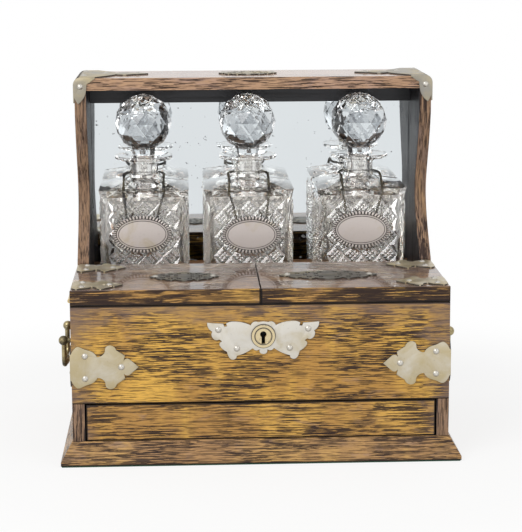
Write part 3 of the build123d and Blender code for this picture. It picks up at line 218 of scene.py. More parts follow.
class Wire:
    """A shader socket that takes part in Python sums."""

    def __init__(self, finish, socket):
        self.finish = finish
        self.socket = socket

    def sum(self, operation, first, second):
        """A Math node on two values or sockets."""
        return self.finish.node("ShaderNodeMath", {"operation": operation}, {0: first, 1: second})

    def __add__(self, other):
        return self.sum("ADD", self, other)

    def __radd__(self, other):
        return self.sum("ADD", other, self)

    def __sub__(self, other):
        return self.sum("SUBTRACT", self, other)

    def __rsub__(self, other):
        return self.sum("SUBTRACT", other, self)

    def __mul__(self, other):
        return self.sum("MULTIPLY", self, other)

    def __rmul__(self, other):
        return self.sum("MULTIPLY", other, self)

    def __abs__(self):
        return self.sum("ABSOLUTE", self, 0.0)

    def most(self, other):
        """The larger of two values."""
        return self.sum("MAXIMUM", self, other)


class Finish:
    """A material and the nodes that make its looks, or the nodes of the world."""

    def __init__(self, name, world=None):
        if world is None:
            self.material = bpy.data.materials.new(name)
            self.material.use_nodes = True
        self.tree = (world or self.material).node_tree
        self.shader = self.tree.nodes.get("Principled BSDF")

    def node(self, kind, choices=None, inputs=None, output=0):
        """Adds a node. Its settings come first, then the values or wires of its sockets."""
        made = self.tree.nodes.new(kind)
        for name, choice in (choices or {}).items():
            setattr(made, name, choice)
        for name, value in (inputs or {}).items():
            self.feed(made.inputs[name], value)
        return Wire(self, made.outputs[output])

    def feed(self, socket, value):
        """Joins a wire to a socket, or sets its value."""
        if isinstance(value, Wire):
            self.tree.links.new(value.socket, socket)
        elif isinstance(value, (int, float)):
            socket.default_value = value
        else:
            wanted = len(socket.default_value)
            socket.default_value = (*value, 1.0)[:wanted]

    def set(self, **inputs):
        """Sets the surface's own sockets, named with underscores."""
        for name, value in inputs.items():
            self.feed(self.shader.inputs[name.replace("_", " ").title().replace("Ior", "IOR")], value)

    def place(self, stretch=(1, 1, 1), shift=(0, 0, 0), where=None):
        """The piece's own coordinates, in metres, stretched and moved."""
        where = where or self.node("ShaderNodeTexCoord", output="Object")
        return self.node("ShaderNodeMapping", inputs={"Vector": where, "Scale": stretch, "Location": shift})

    def axis(self, index):
        """One of the piece's coordinates, in metres."""
        where = self.node("ShaderNodeTexCoord", output="Object")
        return self.node("ShaderNodeSeparateXYZ", inputs={0: where}, output=index)

    def noise(self, vector, scale=1.0, detail=3.0, rough=0.55, warp=0.0):
        """Cloudy noise from 0 to 1."""
        inputs = {"Vector": vector, "Scale": scale, "Detail": detail, "Roughness": rough, "Distortion": warp}
        return self.node("ShaderNodeTexNoise", inputs=inputs)

    def surface(self):
        """What the surface's own shader gives."""
        return Wire(self, self.shader.outputs["BSDF"])

    def cover(self, factor, shader):
        """Puts another shader in place of the surface's own, as far as a factor says."""
        blend = self.node("ShaderNodeMixShader", inputs={0: factor, 1: self.surface(), 2: shader})
        self.feed(self.tree.nodes["Material Output"].inputs["Surface"], blend)

    def seen(self):
        """1 where the camera, a gloss or glass looks at the surface, and 0 where light reaches it."""
        rays = [self.node("ShaderNodeLightPath", output=f"Is {kind} Ray") for kind in RAYS]
        return rays[0].most(rays[1]).most(rays[2])

    def facing(self, index):
        """How far a surface faces along one axis."""
        normal = self.node("ShaderNodeTexCoord", output="Normal")
        return self.node("ShaderNodeSeparateXYZ", inputs={0: normal}, output=index)

    def steepness(self):
        """How far a surface leans away from the three axes: 0 along one and 1 at 45 degrees."""
        flat = abs(self.facing(0)).most(abs(self.facing(1))).most(abs(self.facing(2)))
        return (1.0 - flat) * 3.4

    def scaled(self, vector, factors):
        """A vector with each of its parts multiplied."""
        return self.node("ShaderNodeVectorMath", {"operation": "MULTIPLY"}, {0: vector, 1: factors})

    def distance(self, vector):
        """The length of a vector."""
        return self.node("ShaderNodeVectorMath", {"operation": "LENGTH"}, {0: vector}, output=1)

    def step(self, value, low, high):
        """0 at one limit and 1 at the other, with a smooth change between."""
        choices = {"interpolation_type": "SMOOTHSTEP"}
        return self.node("ShaderNodeMapRange", choices, {"Value": value, "From Min": low, "From Max": high})

    def mix(self, factor, first, second):
        """Mixes two colours."""
        choices = {"data_type": "RGBA", "blend_type": "MIX"}
        return self.node("ShaderNodeMix", choices, {0: factor, 6: first, 7: second}, output=2)

    def bump(self, height, distance, strength=1.0):
        """Relief from a height between 0 and 1, over a distance in metres."""
        inputs = {"Height": height, "Distance": distance, "Strength": strength}
        self.feed(self.shader.inputs["Normal"], self.node("ShaderNodeBump", inputs=inputs))


def times(factor, tint):
    """A colour made lighter or darker."""
    return [factor * part for part in tint]


def oak(name, grain, age=0.0, seed=0.0, grime=0.0, ends=(), gloss=0.12, painted_shade_at=0.0, seams=(), fade=1.0):
    """Oak with dark open grain along one axis.

    age is how far its colour has gone, seed moves its pattern, and grime widens the dark grain.
    ends are its darker ends: an axis, and how far from the origin they begin and are darkest.
    gloss is its polish, and from POLISHED up only what faces up has it, and what faces up is also mixed
    towards the worn colour as a painted sheen.
    painted_shade_at is how far from the origin its inner face lies, along X; that face is painted near black
    as painted shade.
    seams are dark lines at its joints and at gaps between parts, partly dark joints and partly painted shade
    in the gaps: an axis, and how far from the origin each lies.
    fade makes the worn colour lighter or darker.
    """
    tint = settings("colours")
    faded_and_sheen = times(fade, tint.plum_and_sheen)
    coat_rough = 0.16 - 0.12 * gloss
    polished = gloss > POLISHED
    finish = Finish(name)
    shift = (seed, seed * 0.7, seed * 1.3)

    where = finish.node("ShaderNodeTexCoord", output="Object")
    narrow = 1.0
    if grain == "Z":
        broad = finish.step(abs(finish.facing(0)), 0.5, 0.6)
        squeeze = finish.node("ShaderNodeCombineXYZ", inputs={0: 1.0, 1: 0.1 + 0.9 * broad, 2: 1.0})
        where = finish.scaled(where, squeeze)
        narrow = 1.0 - 0.62 * broad

    def grained(along, across):
        stretch = [across] * 3
        stretch["XYZ".index(grain)] = along
        return finish.place(stretch, shift, where)

    clouds = finish.noise(grained(16.0, 7.0), detail=4.0, rough=0.6, warp=0.5)
    dense = finish.step(finish.noise(grained(14.0, 30.0), detail=4.0, rough=0.6), 0.36, 0.60)
    lines = finish.noise(grained(46.0, 1050.0), detail=2.0, rough=0.5, warp=0.10)
    clumps = finish.noise(grained(30.0, 700.0), detail=4.0, rough=0.62, warp=0.18)
    pores = finish.noise(grained(70.0, 1500.0), detail=2.0, rough=0.6)
    blotches = finish.noise(grained(30.0, 90.0), detail=4.0, rough=0.62, warp=0.8)
    light = finish.step(clouds, 0.38 + 0.10 * age, 0.62 + 0.14 * age)
    base = finish.mix(light, tint.amber, tint.honey)
    worn = finish.step(blotches, 0.58 - 0.12 * age, 0.74)
    base = finish.mix(worn * (0.45 + 0.30 * age) * narrow, base, faded_and_sheen)
    if age:
        base = finish.mix(0.60 * age * narrow, base, faded_and_sheen)
    fine = finish.step(lines + 0.06 * dense, 0.545 - grime, 0.575 - grime)
    dark = finish.step(clumps + 0.09 * dense, 0.63 - grime, 0.65 - grime)
    base = finish.mix(fine * (0.58 + 0.34 * dense), base, tint.umber_and_gap_shade)
    base = finish.mix(dark * (0.80 + 0.15 * dense), base, tint.umber_and_gap_shade)
    base = finish.mix(finish.step(pores, 0.56, 0.62) * 0.40, base, tint.umber_and_gap_shade)
    for axis, start, stop in ends:
        edge = finish.step(abs(finish.axis(axis)) + (blotches - 0.5) * 0.07, start, stop)
        base = finish.mix(edge * 0.72, base, times(0.55, tint.plum_and_sheen))
    # Dark lines at joints and gaps: partly dark joints, partly painted shade in the gaps.
    for axis, place in seams:
        seam_and_gap_shade = finish.step(abs(abs(finish.axis(axis)) - place), 1.5 * MM, 0.9 * MM)
        base = finish.mix(seam_and_gap_shade * 0.93, base, times(0.2, tint.umber_and_gap_shade))
    # Painted shade: the inner face is painted near black and loses its gloss.
    if painted_shade_at:
        inner_shade = finish.step(abs(finish.axis(0)), painted_shade_at + 0.6 * MM, painted_shade_at + 0.2 * MM)
        base = finish.mix(inner_shade * 0.96, base, tint.ebonised_and_shade)
        gloss = (1.0 - inner_shade) * gloss
    if polished:
        # Painted sheen: what faces up is mixed towards the worn colour.
        up = finish.step(finish.facing(2), 0.3, 0.8)
        base = finish.mix(up * 0.42, base, faded_and_sheen)
        gloss = 0.10 + (gloss - 0.10) * up
    finish.set(base_color=base, roughness=0.36 + 0.22 * dark + 0.06 * clouds)
    finish.set(coat_weight=gloss, coat_roughness=coat_rough, specular_ior_level=0.2)
    finish.bump(1.0 - dark * 0.6 - fine * 0.4, 0.00016, 0.7)
    return finish.material


def plain_wood(name, tint, grain="X", rough=0.55):
    """Oiled wood with a quiet grain."""
    finish = Finish(name)
    stretch = [240.0] * 3
    stretch["XYZ".index(grain)] = 12.0
    lines = finish.noise(finish.place(stretch), detail=5.0, rough=0.65)
    clouds = finish.noise(finish.place((20, 20, 20)), detail=3.0)
    dark = finish.step(lines, 0.45, 0.68)
    base = finish.mix(clouds, times(0.75, tint), times(1.2, tint))
    finish.set(base_color=finish.mix(dark * 0.6, base, times(0.3, tint)))
    finish.set(roughness=rough + 0.12 * dark, coat_weight=0.12, coat_roughness=0.3)
    finish.bump(1.0 - dark, 0.00008, 0.5)
    return finish.material


def cloth(name, tint):
    """Napped wool."""
    finish = Finish(name)
    nap = finish.noise(finish.place((1600, 1600, 1600)), detail=2.0, rough=0.7)
    worn = finish.noise(finish.place((25, 25, 25)), detail=4.0)
    base = finish.mix(nap, times(0.6, tint), times(1.5, tint))
    finish.set(base_color=finish.mix(worn * 0.35, base, [0.5 * part + 0.01 for part in tint]))
    finish.set(roughness=0.92 - 0.1 * nap)
    finish.set(sheen_weight=0.35, sheen_roughness=0.5)
    finish.bump(nap, 0.00025, 0.8)
    return finish.material


def silver_plate(name, shade, warm=0.25, polish=0.30, hollow=None, rims=0.95):
    """Worn silver plate.

    warm is how much base metal shows through, polish its roughness, and rims how dark its rims are, partly
    as dirt and partly as painted shade.
    hollow gives the Y of its black hollows and of its clean face.
    """
    tint = settings("colours")
    finish = Finish(name)
    patches = finish.noise(finish.place((38, 38, 38)), detail=4.0, rough=0.6, warp=0.6)
    specks = finish.noise(finish.place((420, 420, 420)), detail=3.0, rough=0.7)
    rubs = finish.noise(finish.place((900, 60, 120)), detail=4.0, rough=0.6)
    base = finish.mix(finish.step(patches, 0.60 - warm, 0.95 - warm * 0.6), shade, tint.silver_warm)
    dirt_and_rim_shade = finish.step(specks, 0.60, 0.78) * 0.35
    if hollow:
        deep, clean = hollow
        dirt_and_rim_shade = dirt_and_rim_shade * 0.5 + finish.step(finish.axis(1) + (specks - 0.5) * 0.0003, clean, deep) * 0.95
    # Steep faces at the rims are darkened, partly as dirt and partly as painted shade.
    if rims:
        dirt_and_rim_shade = dirt_and_rim_shade.most(finish.step(finish.steepness(), 0.04, 0.20) * rims)
    finish.set(base_color=finish.mix(dirt_and_rim_shade, base, tint.tarnish_and_shade), metallic=1.0 - 0.6 * dirt_and_rim_shade)
    finish.set(roughness=polish + 0.16 * patches + 0.10 * rubs + 0.25 * dirt_and_rim_shade)
    finish.bump(specks * 0.5 + rubs * 0.5, 0.00006, 0.5)
    return finish.material


def metal(name, tint, dark, rough=0.25, wear=0.45, rings=(), rims=0.0):
    """Cast or turned metal that has darkened in places.

    rings are dark bands round the keyhole, from one radius to another in millimetres, and rims is how dark
    its rims are, partly as dirt and partly as painted shade.
    """
    finish = Finish(name)
    patches = finish.noise(finish.place((90, 90, 90)), detail=5.0, rough=0.65, warp=0.5)
    fine = finish.noise(finish.place((700, 700, 700)), detail=3.0)
    aged_and_rim_shade = finish.step(patches + (fine - 0.5) * 0.2, 0.62 - wear * 0.4, 0.80 - wear * 0.2)
    # Steep faces at the rims are darkened, partly as dirt and partly as painted shade.
    if rims:
        aged_and_rim_shade = aged_and_rim_shade.most(finish.step(finish.steepness(), 0.35, 0.85) * rims)
    if rings:
        low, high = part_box("keyhole_ring")
        centre = [-(a + b) / 2 for a, b in zip(low, high)]
        reach = finish.distance(finish.scaled(finish.place(shift=centre), (1, 0, 1)))
        for start, stop in rings:
            middle, half = (start + stop) / 2 * MM, (stop - start) / 2 * MM
            aged_and_rim_shade = aged_and_rim_shade.most(finish.step(abs(reach - middle), half + 0.25 * MM, half - 0.1 * MM))
    finish.set(base_color=finish.mix(aged_and_rim_shade, tint, dark), metallic=1.0 - 0.7 * aged_and_rim_shade)
    finish.set(roughness=rough + 0.22 * aged_and_rim_shade + 0.06 * fine)
    finish.bump(fine, 0.00005, 0.4)
    return finish.material


def old_mirror(name):
    """Silvered glass with foxing."""
    tint = settings("colours")
    finish = Finish(name)
    spots = finish.noise(finish.place((170, 170, 170), (0.3, 0, 0.9)), detail=4.0, rough=0.6)
    bloom = finish.noise(finish.place((9, 9, 9)), detail=3.0)
    low = finish.step(finish.axis(2), 0.20, 0.14)
    gone = finish.step(spots + bloom * 0.16 + low * 0.05, 0.74, 0.80)
    haze = finish.mix(bloom, tint.mirror, times(0.93, tint.mirror))
    finish.set(base_color=finish.mix(gone, haze, tint.foxing), metallic=1.0 - gone * 0.6)
    finish.set(roughness=0.03 + 0.35 * gone)
    return finish.material


def cut_crystal(name, glass, bend, shine, painted_reflection, level=0.0):
    """Lead glass, which casts a clear shadow.

    bend is how strongly it bends light, and shine how much more of it the cutting throws back.
    painted_reflection is how dark some facets are painted, each by the way it faces, from a level upwards: a
    painted reflection of dark surroundings.
    """
    finish = Finish(name)
    wipe = finish.noise(finish.place((60, 60, 60)), detail=3.0)
    normal = finish.node("ShaderNodeTexCoord", output="Normal")
    # Painted reflection: facets picked by the way they face are painted darker.
    some = finish.step(finish.noise(normal, scale=3.1, detail=0.0), 0.53, 0.58)
    some = some * finish.step(finish.axis(2), level, level + 2 * MM)
    tinted = finish.mix(some * painted_reflection, glass, settings("colours").painted_reflection)
    finish.set(base_color=tinted, transmission_weight=1.0, ior=bend, roughness=0.012 * wipe)
    finish.set(coat_weight=shine, coat_ior=1.8, coat_roughness=0.03)
    shade = finish.node("ShaderNodeLightPath", output="Is Shadow Ray")
    through = finish.node("ShaderNodeBsdfTransparent", inputs={"Color": glass})
    finish.cover(shade, through)
    return finish.material


# ---------------------------------------------------------------- making pieces


def paint(node, material):
    """Gives a carried node its finish."""
    slots = NODES[node].data.materials
    slots.clear()
    slots.append(material)


def paint_all(material, *nodes):
    """Gives several carried nodes one finish."""
    for node in nodes:
        paint(node, material)


def mesh_of(shape, name):
    """Turns a bmesh into a mesh and frees it."""
    mesh = bpy.data.meshes.new(name)
    shape.to_mesh(mesh)
    shape.free()
    return mesh


def finish_piece(name, shape, material, body, stands_for=(), sharp=None):
    """Turns a bmesh into a piece that rides on a body and stands for CAD nodes.

    sharp is the angle in degrees from which an edge isn't smoothed. Without it every edge stays sharp.
    """
    mesh = mesh_of(shape, name)
    mesh.materials.append(material)
    if sharp is not None:
        mesh.shade_smooth()
        mesh.set_sharp_from_angle(angle=math.radians(sharp))
    piece = bpy.data.objects.new(name, mesh)
    bpy.context.scene.collection.objects.link(piece)
    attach(piece, body)
    if stands_for:
        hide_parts(*stands_for)
    return piece


def merged_copy(node):
    """A CAD node's shape with its triangles joined into clean faces."""
    shape = bmesh.new()
    shape.from_mesh(NODES[node].data)
    bmesh.ops.remove_doubles(shape, verts=shape.verts, dist=0.002 * MM)
    bmesh.ops.dissolve_limit(
        shape, angle_limit=math.radians(1.0), verts=shape.verts, edges=shape.edges, delimit={"NORMAL"}
    )
    return shape


def ease_edges(shape, width, angle=50.0, segments=2):
    """Bevels the edges that are sharper than an angle."""
    sharp = [e for e in shape.edges if e.is_manifold and e.calc_face_angle(0.0) > math.radians(angle)]
    bmesh.ops.bevel(
        shape,
        geom=sharp,
        offset=width * MM,
        affect="EDGES",
        segments=segments,
        profile=0.5,
        material=-1,
        clamp_overlap=True,
    )


def raise_face(shape, face, rise):
    """Extrudes a face along Z and returns the face at its end."""
    grown = bmesh.ops.extrude_face_region(shape, geom=[face])
    ends = [g for g in grown["geom"] if isinstance(g, bmesh.types.BMFace)]
    bmesh.ops.translate(shape, verts=list(ends[0].verts), vec=(0, 0, rise * MM))
    if any(len(e.link_faces) > 2 for e in face.edges):
        bmesh.ops.delete(shape, geom=[face], context="FACES_ONLY")
    return ends[0]


def fit_ring(face, centre, outline):
    """Moves a face's corners out or in to an outline: a radius in millimetres for each angle."""
    for vert in face.verts:
        angle = math.atan2(vert.co.y - centre[1], vert.co.x - centre[0])
        reach = outline(angle) * MM
        vert.co.x = centre[0] + reach * math.cos(angle)
        vert.co.y = centre[1] + reach * math.sin(angle)


def round_outline(diameter, lobes=0, depth=0.0):
    """A circle, or a circle with scallops."""
    return lambda angle: diameter / 2 - depth * (0.5 - 0.5 * math.cos(lobes * angle))


def square_outline(width, depth, corner):
    """A rectangle with chamfered corners, as the radius at each angle."""

    def reach(angle):
        across, along = abs(math.cos(angle)), abs(math.sin(angle))
        to_side = width / 2 / max(across, 1e-9)
        to_front = depth / 2 / max(along, 1e-9)
        to_corner = (width / 2 + depth / 2 - corner) / (across + along)
        return min(to_side, to_front, to_corner)

    return reach


def chamfered_square(shape, centre, z, width, depth, corner):
    """An eight-sided face to start a body from."""
    x, y = width / 2, depth / 2
    right = [(x - corner, -y), (x, corner - y), (x, y - corner), (x - corner, y)]
    outline = right + [(-across, -along) for across, along in right]
    spots = [(centre[0] + across * MM, centre[1] + along * MM, z) for across, along in outline]
    return shape.faces.new([shape.verts.new(spot) for spot in spots])


def cut_diamonds(shape, faces, band, relief, crown, points):
    """Cuts square cells into crossed bands with small points on the diamonds between them."""
    cells = set(faces)
    lattice = [e for e in {e for f in faces for e in f.edges} if set(e.link_faces) <= cells]
    lattice = [e for e in lattice if e.calc_face_angle(1.0) < 0.05]
    middles = bmesh.ops.poke(shape, faces=faces, offset=0.0, center_mode="MEAN")["verts"]
    bmesh.ops.dissolve_edges(shape, edges=lattice, use_verts=False, use_face_split=False)
    diamonds = list({f for v in middles for f in v.link_faces})
    bmesh.ops.inset_individual(
        shape, faces=diamonds, thickness=band / 2 * MM, depth=(relief - crown) * MM, use_even_offset=True
    )
    whole = [f for f in diamonds if len(f.verts) == 4]
    halves = [f for f in diamonds if len(f.verts) == 3]
    edges = list({e for f in whole for e in f.edges})
    split = bmesh.ops.subdivide_edges(shape, edges=edges, cuts=points - 1, use_grid_fill=True)
    shape.normal_update()
    tops = {g for g in split["geom"] if isinstance(g, bmesh.types.BMFace) and len(g.verts) == 4}
    return [f for f in tops if max(abs(f.normal.x), abs(f.normal.y)) > 0.9999], halves


# ---------------------------------------------------------------- decanters


def decanter_centre(name):
    """Where a decanter stands, from its CAD node: its middle and its height range."""
    low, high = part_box("decanter_" + name)
    return ((low[0] + high[0]) / 2, (low[1] + high[1]) / 2), low[2], high[2]


def decanter_shell(name):
    """A square decanter, hollow, in one closed shell, and the faces round its body that are to be cut."""
    size = settings("glass")
    centre, foot, top = decanter_centre(name)
    low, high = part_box("decanter_" + name)
    width = (high[0] - low[0]) / MM
    depth = (high[1] - low[1]) / MM
    ground_width = width - 2 * size.relief
    ground_depth = depth - 2 * size.relief
    height = (top - foot) / MM
    body_height = height - size.lip_thick - size.neck_height - size.shoulder_rise
    shape = bmesh.new()
    face = chamfered_square(shape, centre, foot, ground_width, ground_depth, size.corner)
    for half in range(2):
        face = raise_face(shape, face, (body_height - size.plain_top) / 2)
    shape.normal_update()
    belt = [f for f in shape.faces if abs(f.normal.z) < 0.1]
    face = raise_face(shape, face, size.plain_top)
    fit_ring(face, centre, square_outline(width, depth, size.corner))
    face = raise_face(shape, face, size.shoulder_rise)
    fit_ring(face, centre, round_outline(size.shoulder_seat * 1.03))
    bmesh.ops.subdivide_edges(shape, edges=list(face.edges), cuts=2)
    face = max((f for f in shape.faces if abs(f.normal.z) > 0.99 or len(f.verts) == 24), key=ring_height)
    fit_ring(face, centre, round_outline(size.shoulder_seat))
    steps = [  # rise and outline, up the neck, over the lip and down into the bore
        (0.6, round_outline(size.neck + 2.4, 8, 0.8)),
        (2.4, round_outline(size.neck, 8, 1.2)),
        (size.neck_height - 6.5, round_outline(size.neck, 8, 1.2)),
        (3.5, round_outline(size.neck + 7.0, 8, 0.8)),
        (0.6, round_outline(size.lip - 6.0, 12, 1.0)),
        (1.6, round_outline(size.lip, 12, 1.6)),
        (size.lip_thick - 2.4, round_outline(size.lip, 12, 1.6)),
        (-0.2, round_outline(size.lip - 5.0, 12, 1.2)),
        (-0.9, round_outline(size.bore + 8.0)),
        (0.9, round_outline(size.bore + 3.0)),
        (-1.6, round_outline(size.bore)),
    ]
    for rise, outline in steps:
        face = raise_face(shape, face, rise)
        fit_ring(face, centre, outline)
    reached = body_height + size.shoulder_rise + sum(rise for rise, outline in steps)
    inner = square_outline(width - 2 * size.wall, depth - 2 * size.wall, size.corner * 1.2)

    def widened(share):
        return lambda angle: share * inner(angle) + (1 - share) * size.bore / 2

    bore_foot = body_height - 1.0
    for level, outline in (
        (bore_foot + 4.0, round_outline(size.bore)),
        (bore_foot, widened(0.12)),
        (bore_foot - 2.5, widened(0.75)),
        (bore_foot - 6.0, widened(1.0)),
        (size.floor + 5.0, widened(1.0)),
        (size.floor + 1.0, widened(0.95)),
        (size.floor, widened(0.80)),
    ):
        face = raise_face(shape, face, level - reached)
        reached = level
        fit_ring(face, centre, outline)
    return shape, belt


def ring_height(face):
    """The height of a face, for picking the top one."""
    return face.calc_center_median().z


def cut_body(shape, belt):
    """Cuts the body's sides with diamonds and its upright edges with notches."""
    size = settings("glass")
    edges = {e for f in belt for e in f.edges}
    chamfer = 2 * size.corner * MM
    grid_edges = [e for e in edges if e.calc_length() > chamfer]
    split = bmesh.ops.subdivide_edges(shape, edges=grid_edges, cuts=size.cells - 1, use_grid_fill=True)
    shape.normal_update()
    made = {g for g in split["geom"] if isinstance(g, bmesh.types.BMFace) and g.is_valid}
    upright = [f for f in made if abs(f.normal.z) < 0.1 and len(f.verts) == 4]
    sides = [f for f in upright if max(abs(f.normal.x), abs(f.normal.y)) > 0.99]
    notches = [f for f in upright if max(abs(f.normal.x), abs(f.normal.y)) <= 0.99]
    tops, halves = cut_diamonds(shape, sides, size.band, size.relief, size.crown, size.points)
    bmesh.ops.poke(shape, faces=tops + halves, offset=size.crown * MM, center_mode="MEAN")
    corners = [f for f in notches if f.is_valid]
    bmesh.ops.poke(shape, faces=corners, offset=-size.notch * MM, center_mode="MEAN")


class TANTALUS_OT_decanters(bpy.types.Operator):
    """Cut-glass decanters, hollow, with diamonds on their sides"""

    bl_idname = "tantalus.decanters"
    bl_label = "Decanters"

    def execute(self, context):
        tint = settings("colours")
        crystal = cut_crystal("decanter_crystal", tint.crystal_warm, bend=1.27, shine=1.0, painted_reflection=0.10)
        for name in PLACES:
            shape, belt = decanter_shell(name)
            cut_body(shape, belt)
            bmesh.ops.recalc_face_normals(shape, faces=shape.faces)
            node = "decanter_" + name
            finish_piece("cut_" + node, shape, crystal, node, (node,), sharp=12.0)
        return {"FINISHED"}


def faceted_ball(radius, sides, bands):
    """A ball cut in rows of triangles, each ring turned half a facet from the next."""
    shape = bmesh.new()
    bmesh.ops.create_uvsphere(shape, u_segments=sides, v_segments=bands, radius=radius)
    for ring in range(1, bands, 2):
        level = radius * math.cos(ring * math.pi / bands)
        turned = [v for v in shape.verts if abs(v.co.z - level) < 0.1 * MM]
        bmesh.ops.rotate(shape, verts=turned, matrix=Matrix.Rotation(math.pi / sides, 3, "Z"))
    quads = [f for f in shape.faces if len(f.verts) == 4]
    bmesh.ops.triangulate(shape, faces=quads, quad_method="SHORT_EDGE")
    return shape


class TANTALUS_OT_stoppers(bpy.types.Operator):
    """Faceted ball stoppers with their ground plugs"""

    bl_idname = "tantalus.stoppers"
    bl_label = "Stoppers"

    def execute(self, context):
        size = settings("glass")
        ball_foot = (size.ball_rise - size.ball / 2) * MM
        level = decanter_centre("centre")[2] + ball_foot
        tint = settings("colours")
        crystal = cut_crystal("stopper_crystal", tint.crystal, bend=1.52, shine=0.0, painted_reflection=0.62, level=level)
        turn = Matrix.Rotation(size.ball_turn, 3, "Z")
        for name in PLACES:
            centre, foot, top = decanter_centre(name)
            middle = Vector((*centre, top + size.ball_rise * MM))
            shape = faceted_ball(size.ball / 2 * MM, size.ball_sides, size.ball_bands)
            bmesh.ops.rotate(shape, verts=shape.verts, matrix=turn)
            bmesh.ops.translate(shape, verts=shape.verts, vec=middle)
            seat = top + ball_foot + 4.0 * MM
            cut = bmesh.ops.bisect_plane(
                shape,
                geom=shape.verts[:] + shape.edges[:] + shape.faces[:],
                plane_co=(0, 0, seat),
                plane_no=(0, 0, -1),
                clear_outer=True,
                dist=1e-6,
            )
            rim = [e for e in cut["geom_cut"] if isinstance(e, bmesh.types.BMEdge)]
            filled = bmesh.ops.holes_fill(shape, edges=rim, sides=0)
            face = filled["faces"][0]
            for level, diameter in (
                (seat - 2.0 * MM, size.collar),
                (top + 1.2 * MM, size.collar - 1.5),
                (top + 0.3 * MM, size.plug + 2.5),
                (top, size.plug),
                (top - size.plug_length * MM, size.plug_end),
            ):
                face = raise_face(shape, face, (level - ring_height(face)) / MM)
                fit_ring(face, centre, round_outline(diameter))
            bmesh.ops.recalc_face_normals(shape, faces=shape.faces)
            node = "stopper_" + name
            finish_piece("faceted_" + node, shape, crystal, node, (node,))
        return {"FINISHED"}


# ---------------------------------------------------------------- labels and chains

SPANS = 24  # short runs between two points of a chain's route
LABEL_BACK = 0.6  # mm from a chain's middle to the back of its label


def label_place(name):
    """The middle of a label's back, from the CAD nodes of the label and its decanter."""
    size = settings("labels")
    low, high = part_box("decanter_label_" + name)
    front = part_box("decanter_" + name)[0][1]
    back = front - (size.stand - LABEL_BACK) * MM
    return Vector(((low[0] + high[0]) / 2, back, low[2] + size.height / 2 * MM))


def label_plate(name):
    """An oval plate with a border of rays round a bare panel."""
    size = settings("labels")
    shape = bmesh.new()
    bmesh.ops.create_circle(shape, cap_ends=True, segments=size.rays * 6, radius=1.0)
    shape.faces.ensure_lookup_table()
    face = shape.faces[0]
    rings = (  # share of the border's width, notch between rays, level, height of a ray
        (0.93, 3.0, 0.0, 0.0),
        (1.00, 3.2, size.thick * 0.4, 0.3),
        (0.86, 2.2, size.thick * 0.8, size.crest * 0.8),
        (0.60, 0.6, size.thick, size.crest),
        (0.36, 0.0, size.thick, size.crest * 0.8),
        (0.30, 0.0, size.thick * 0.6, 0.0),
        (0.24, 0.0, size.thick + 1.0, 0.0),
        (0.07, 0.0, size.thick + 1.0, 0.0),
        (0.02, 0.0, size.thick * 0.6, 0.0),
        (-0.04, 0.0, size.thick + 0.9, 0.0),
        (-0.50, 0.0, size.thick + 1.0, 0.0),
        (-1.20, 0.0, size.thick + 1.1, 0.0),
        (-1.80, 0.0, size.thick + 1.15, 0.0),
    )
    last = (1.0, 1.0)
    for share, notch, level, ray_height in rings:
        if last != (1.0, 1.0):
            face = raise_face(shape, face, 1.0)
        across = size.panel_length / 2 * (1 - share) + size.length / 2 * share
        up = size.panel_height / 2 * (1 - share) + size.height / 2 * share
        for vert in face.verts:
            turn = math.atan2(vert.co.y / last[1], vert.co.x / last[0])
            ray = abs(math.cos(size.rays / 2 * turn)) ** 1.5
            pull = 1 - notch * (1 - ray) / across
            spot = (across * pull * math.cos(turn), up * pull * math.sin(turn), level + ray_height * ray)
            vert.co = Vector(spot) * MM
        last = (across, up)
    bmesh.ops.poke(shape, faces=[face], offset=0.0, center_mode="MEAN")
    stand = Matrix.Translation(label_place(name)) @ Matrix.Rotation(math.radians(90), 4, "X")
    bmesh.ops.transform(shape, matrix=stand, verts=shape.verts)
    bmesh.ops.recalc_face_normals(shape, faces=shape.faces)
    return shape


def chain_points(name):
    """The chain's route, from one hole of the label round the neck to the other."""
    size = settings("labels")
    glass = settings("glass")
    centre, foot, top = decanter_centre(name)
    place = label_place(name)
    neck_foot = top - (glass.lip_thick + glass.neck_height) * MM
    shoulder = neck_foot - glass.shoulder_rise * MM
    stand = size.stand * MM
    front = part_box("decanter_" + name)[0][1] - stand
    drop = (size.height / 2) * math.sqrt(1 - (2 * size.hole_x / size.length) ** 2) * MM
    halves = []
    for side in (-1, 1):
        x_hole = place.x + side * size.hole_x * MM
        x_loop = centre[0] + side * size.loop * MM
        z_hole = place.z + drop - 0.5 * MM
        halves.append([
            Vector((x_hole, front, z_hole)),
            Vector(((x_hole + x_loop) / 2, front, (z_hole + shoulder) / 2)),
            Vector((x_loop, front, shoulder - stand)),
            Vector((x_loop, front + 0.6 * stand, shoulder + 0.75 * stand)),
            Vector((x_loop, front + 2.1 * stand, shoulder + 1.45 * stand)),
            Vector((x_loop, (front + centre[1]) / 2, neck_foot + stand)),
            Vector((x_loop, centre[1], neck_foot + stand)),
            Vector((
                centre[0] + side * size.loop * 0.71 * MM,
                centre[1] + size.loop * 0.71 * MM,
                neck_foot + stand,
            )),
        ])
    behind = Vector((centre[0], centre[1] + size.loop * MM, neck_foot + stand))
    return [*halves[0], behind, *reversed(halves[1])]


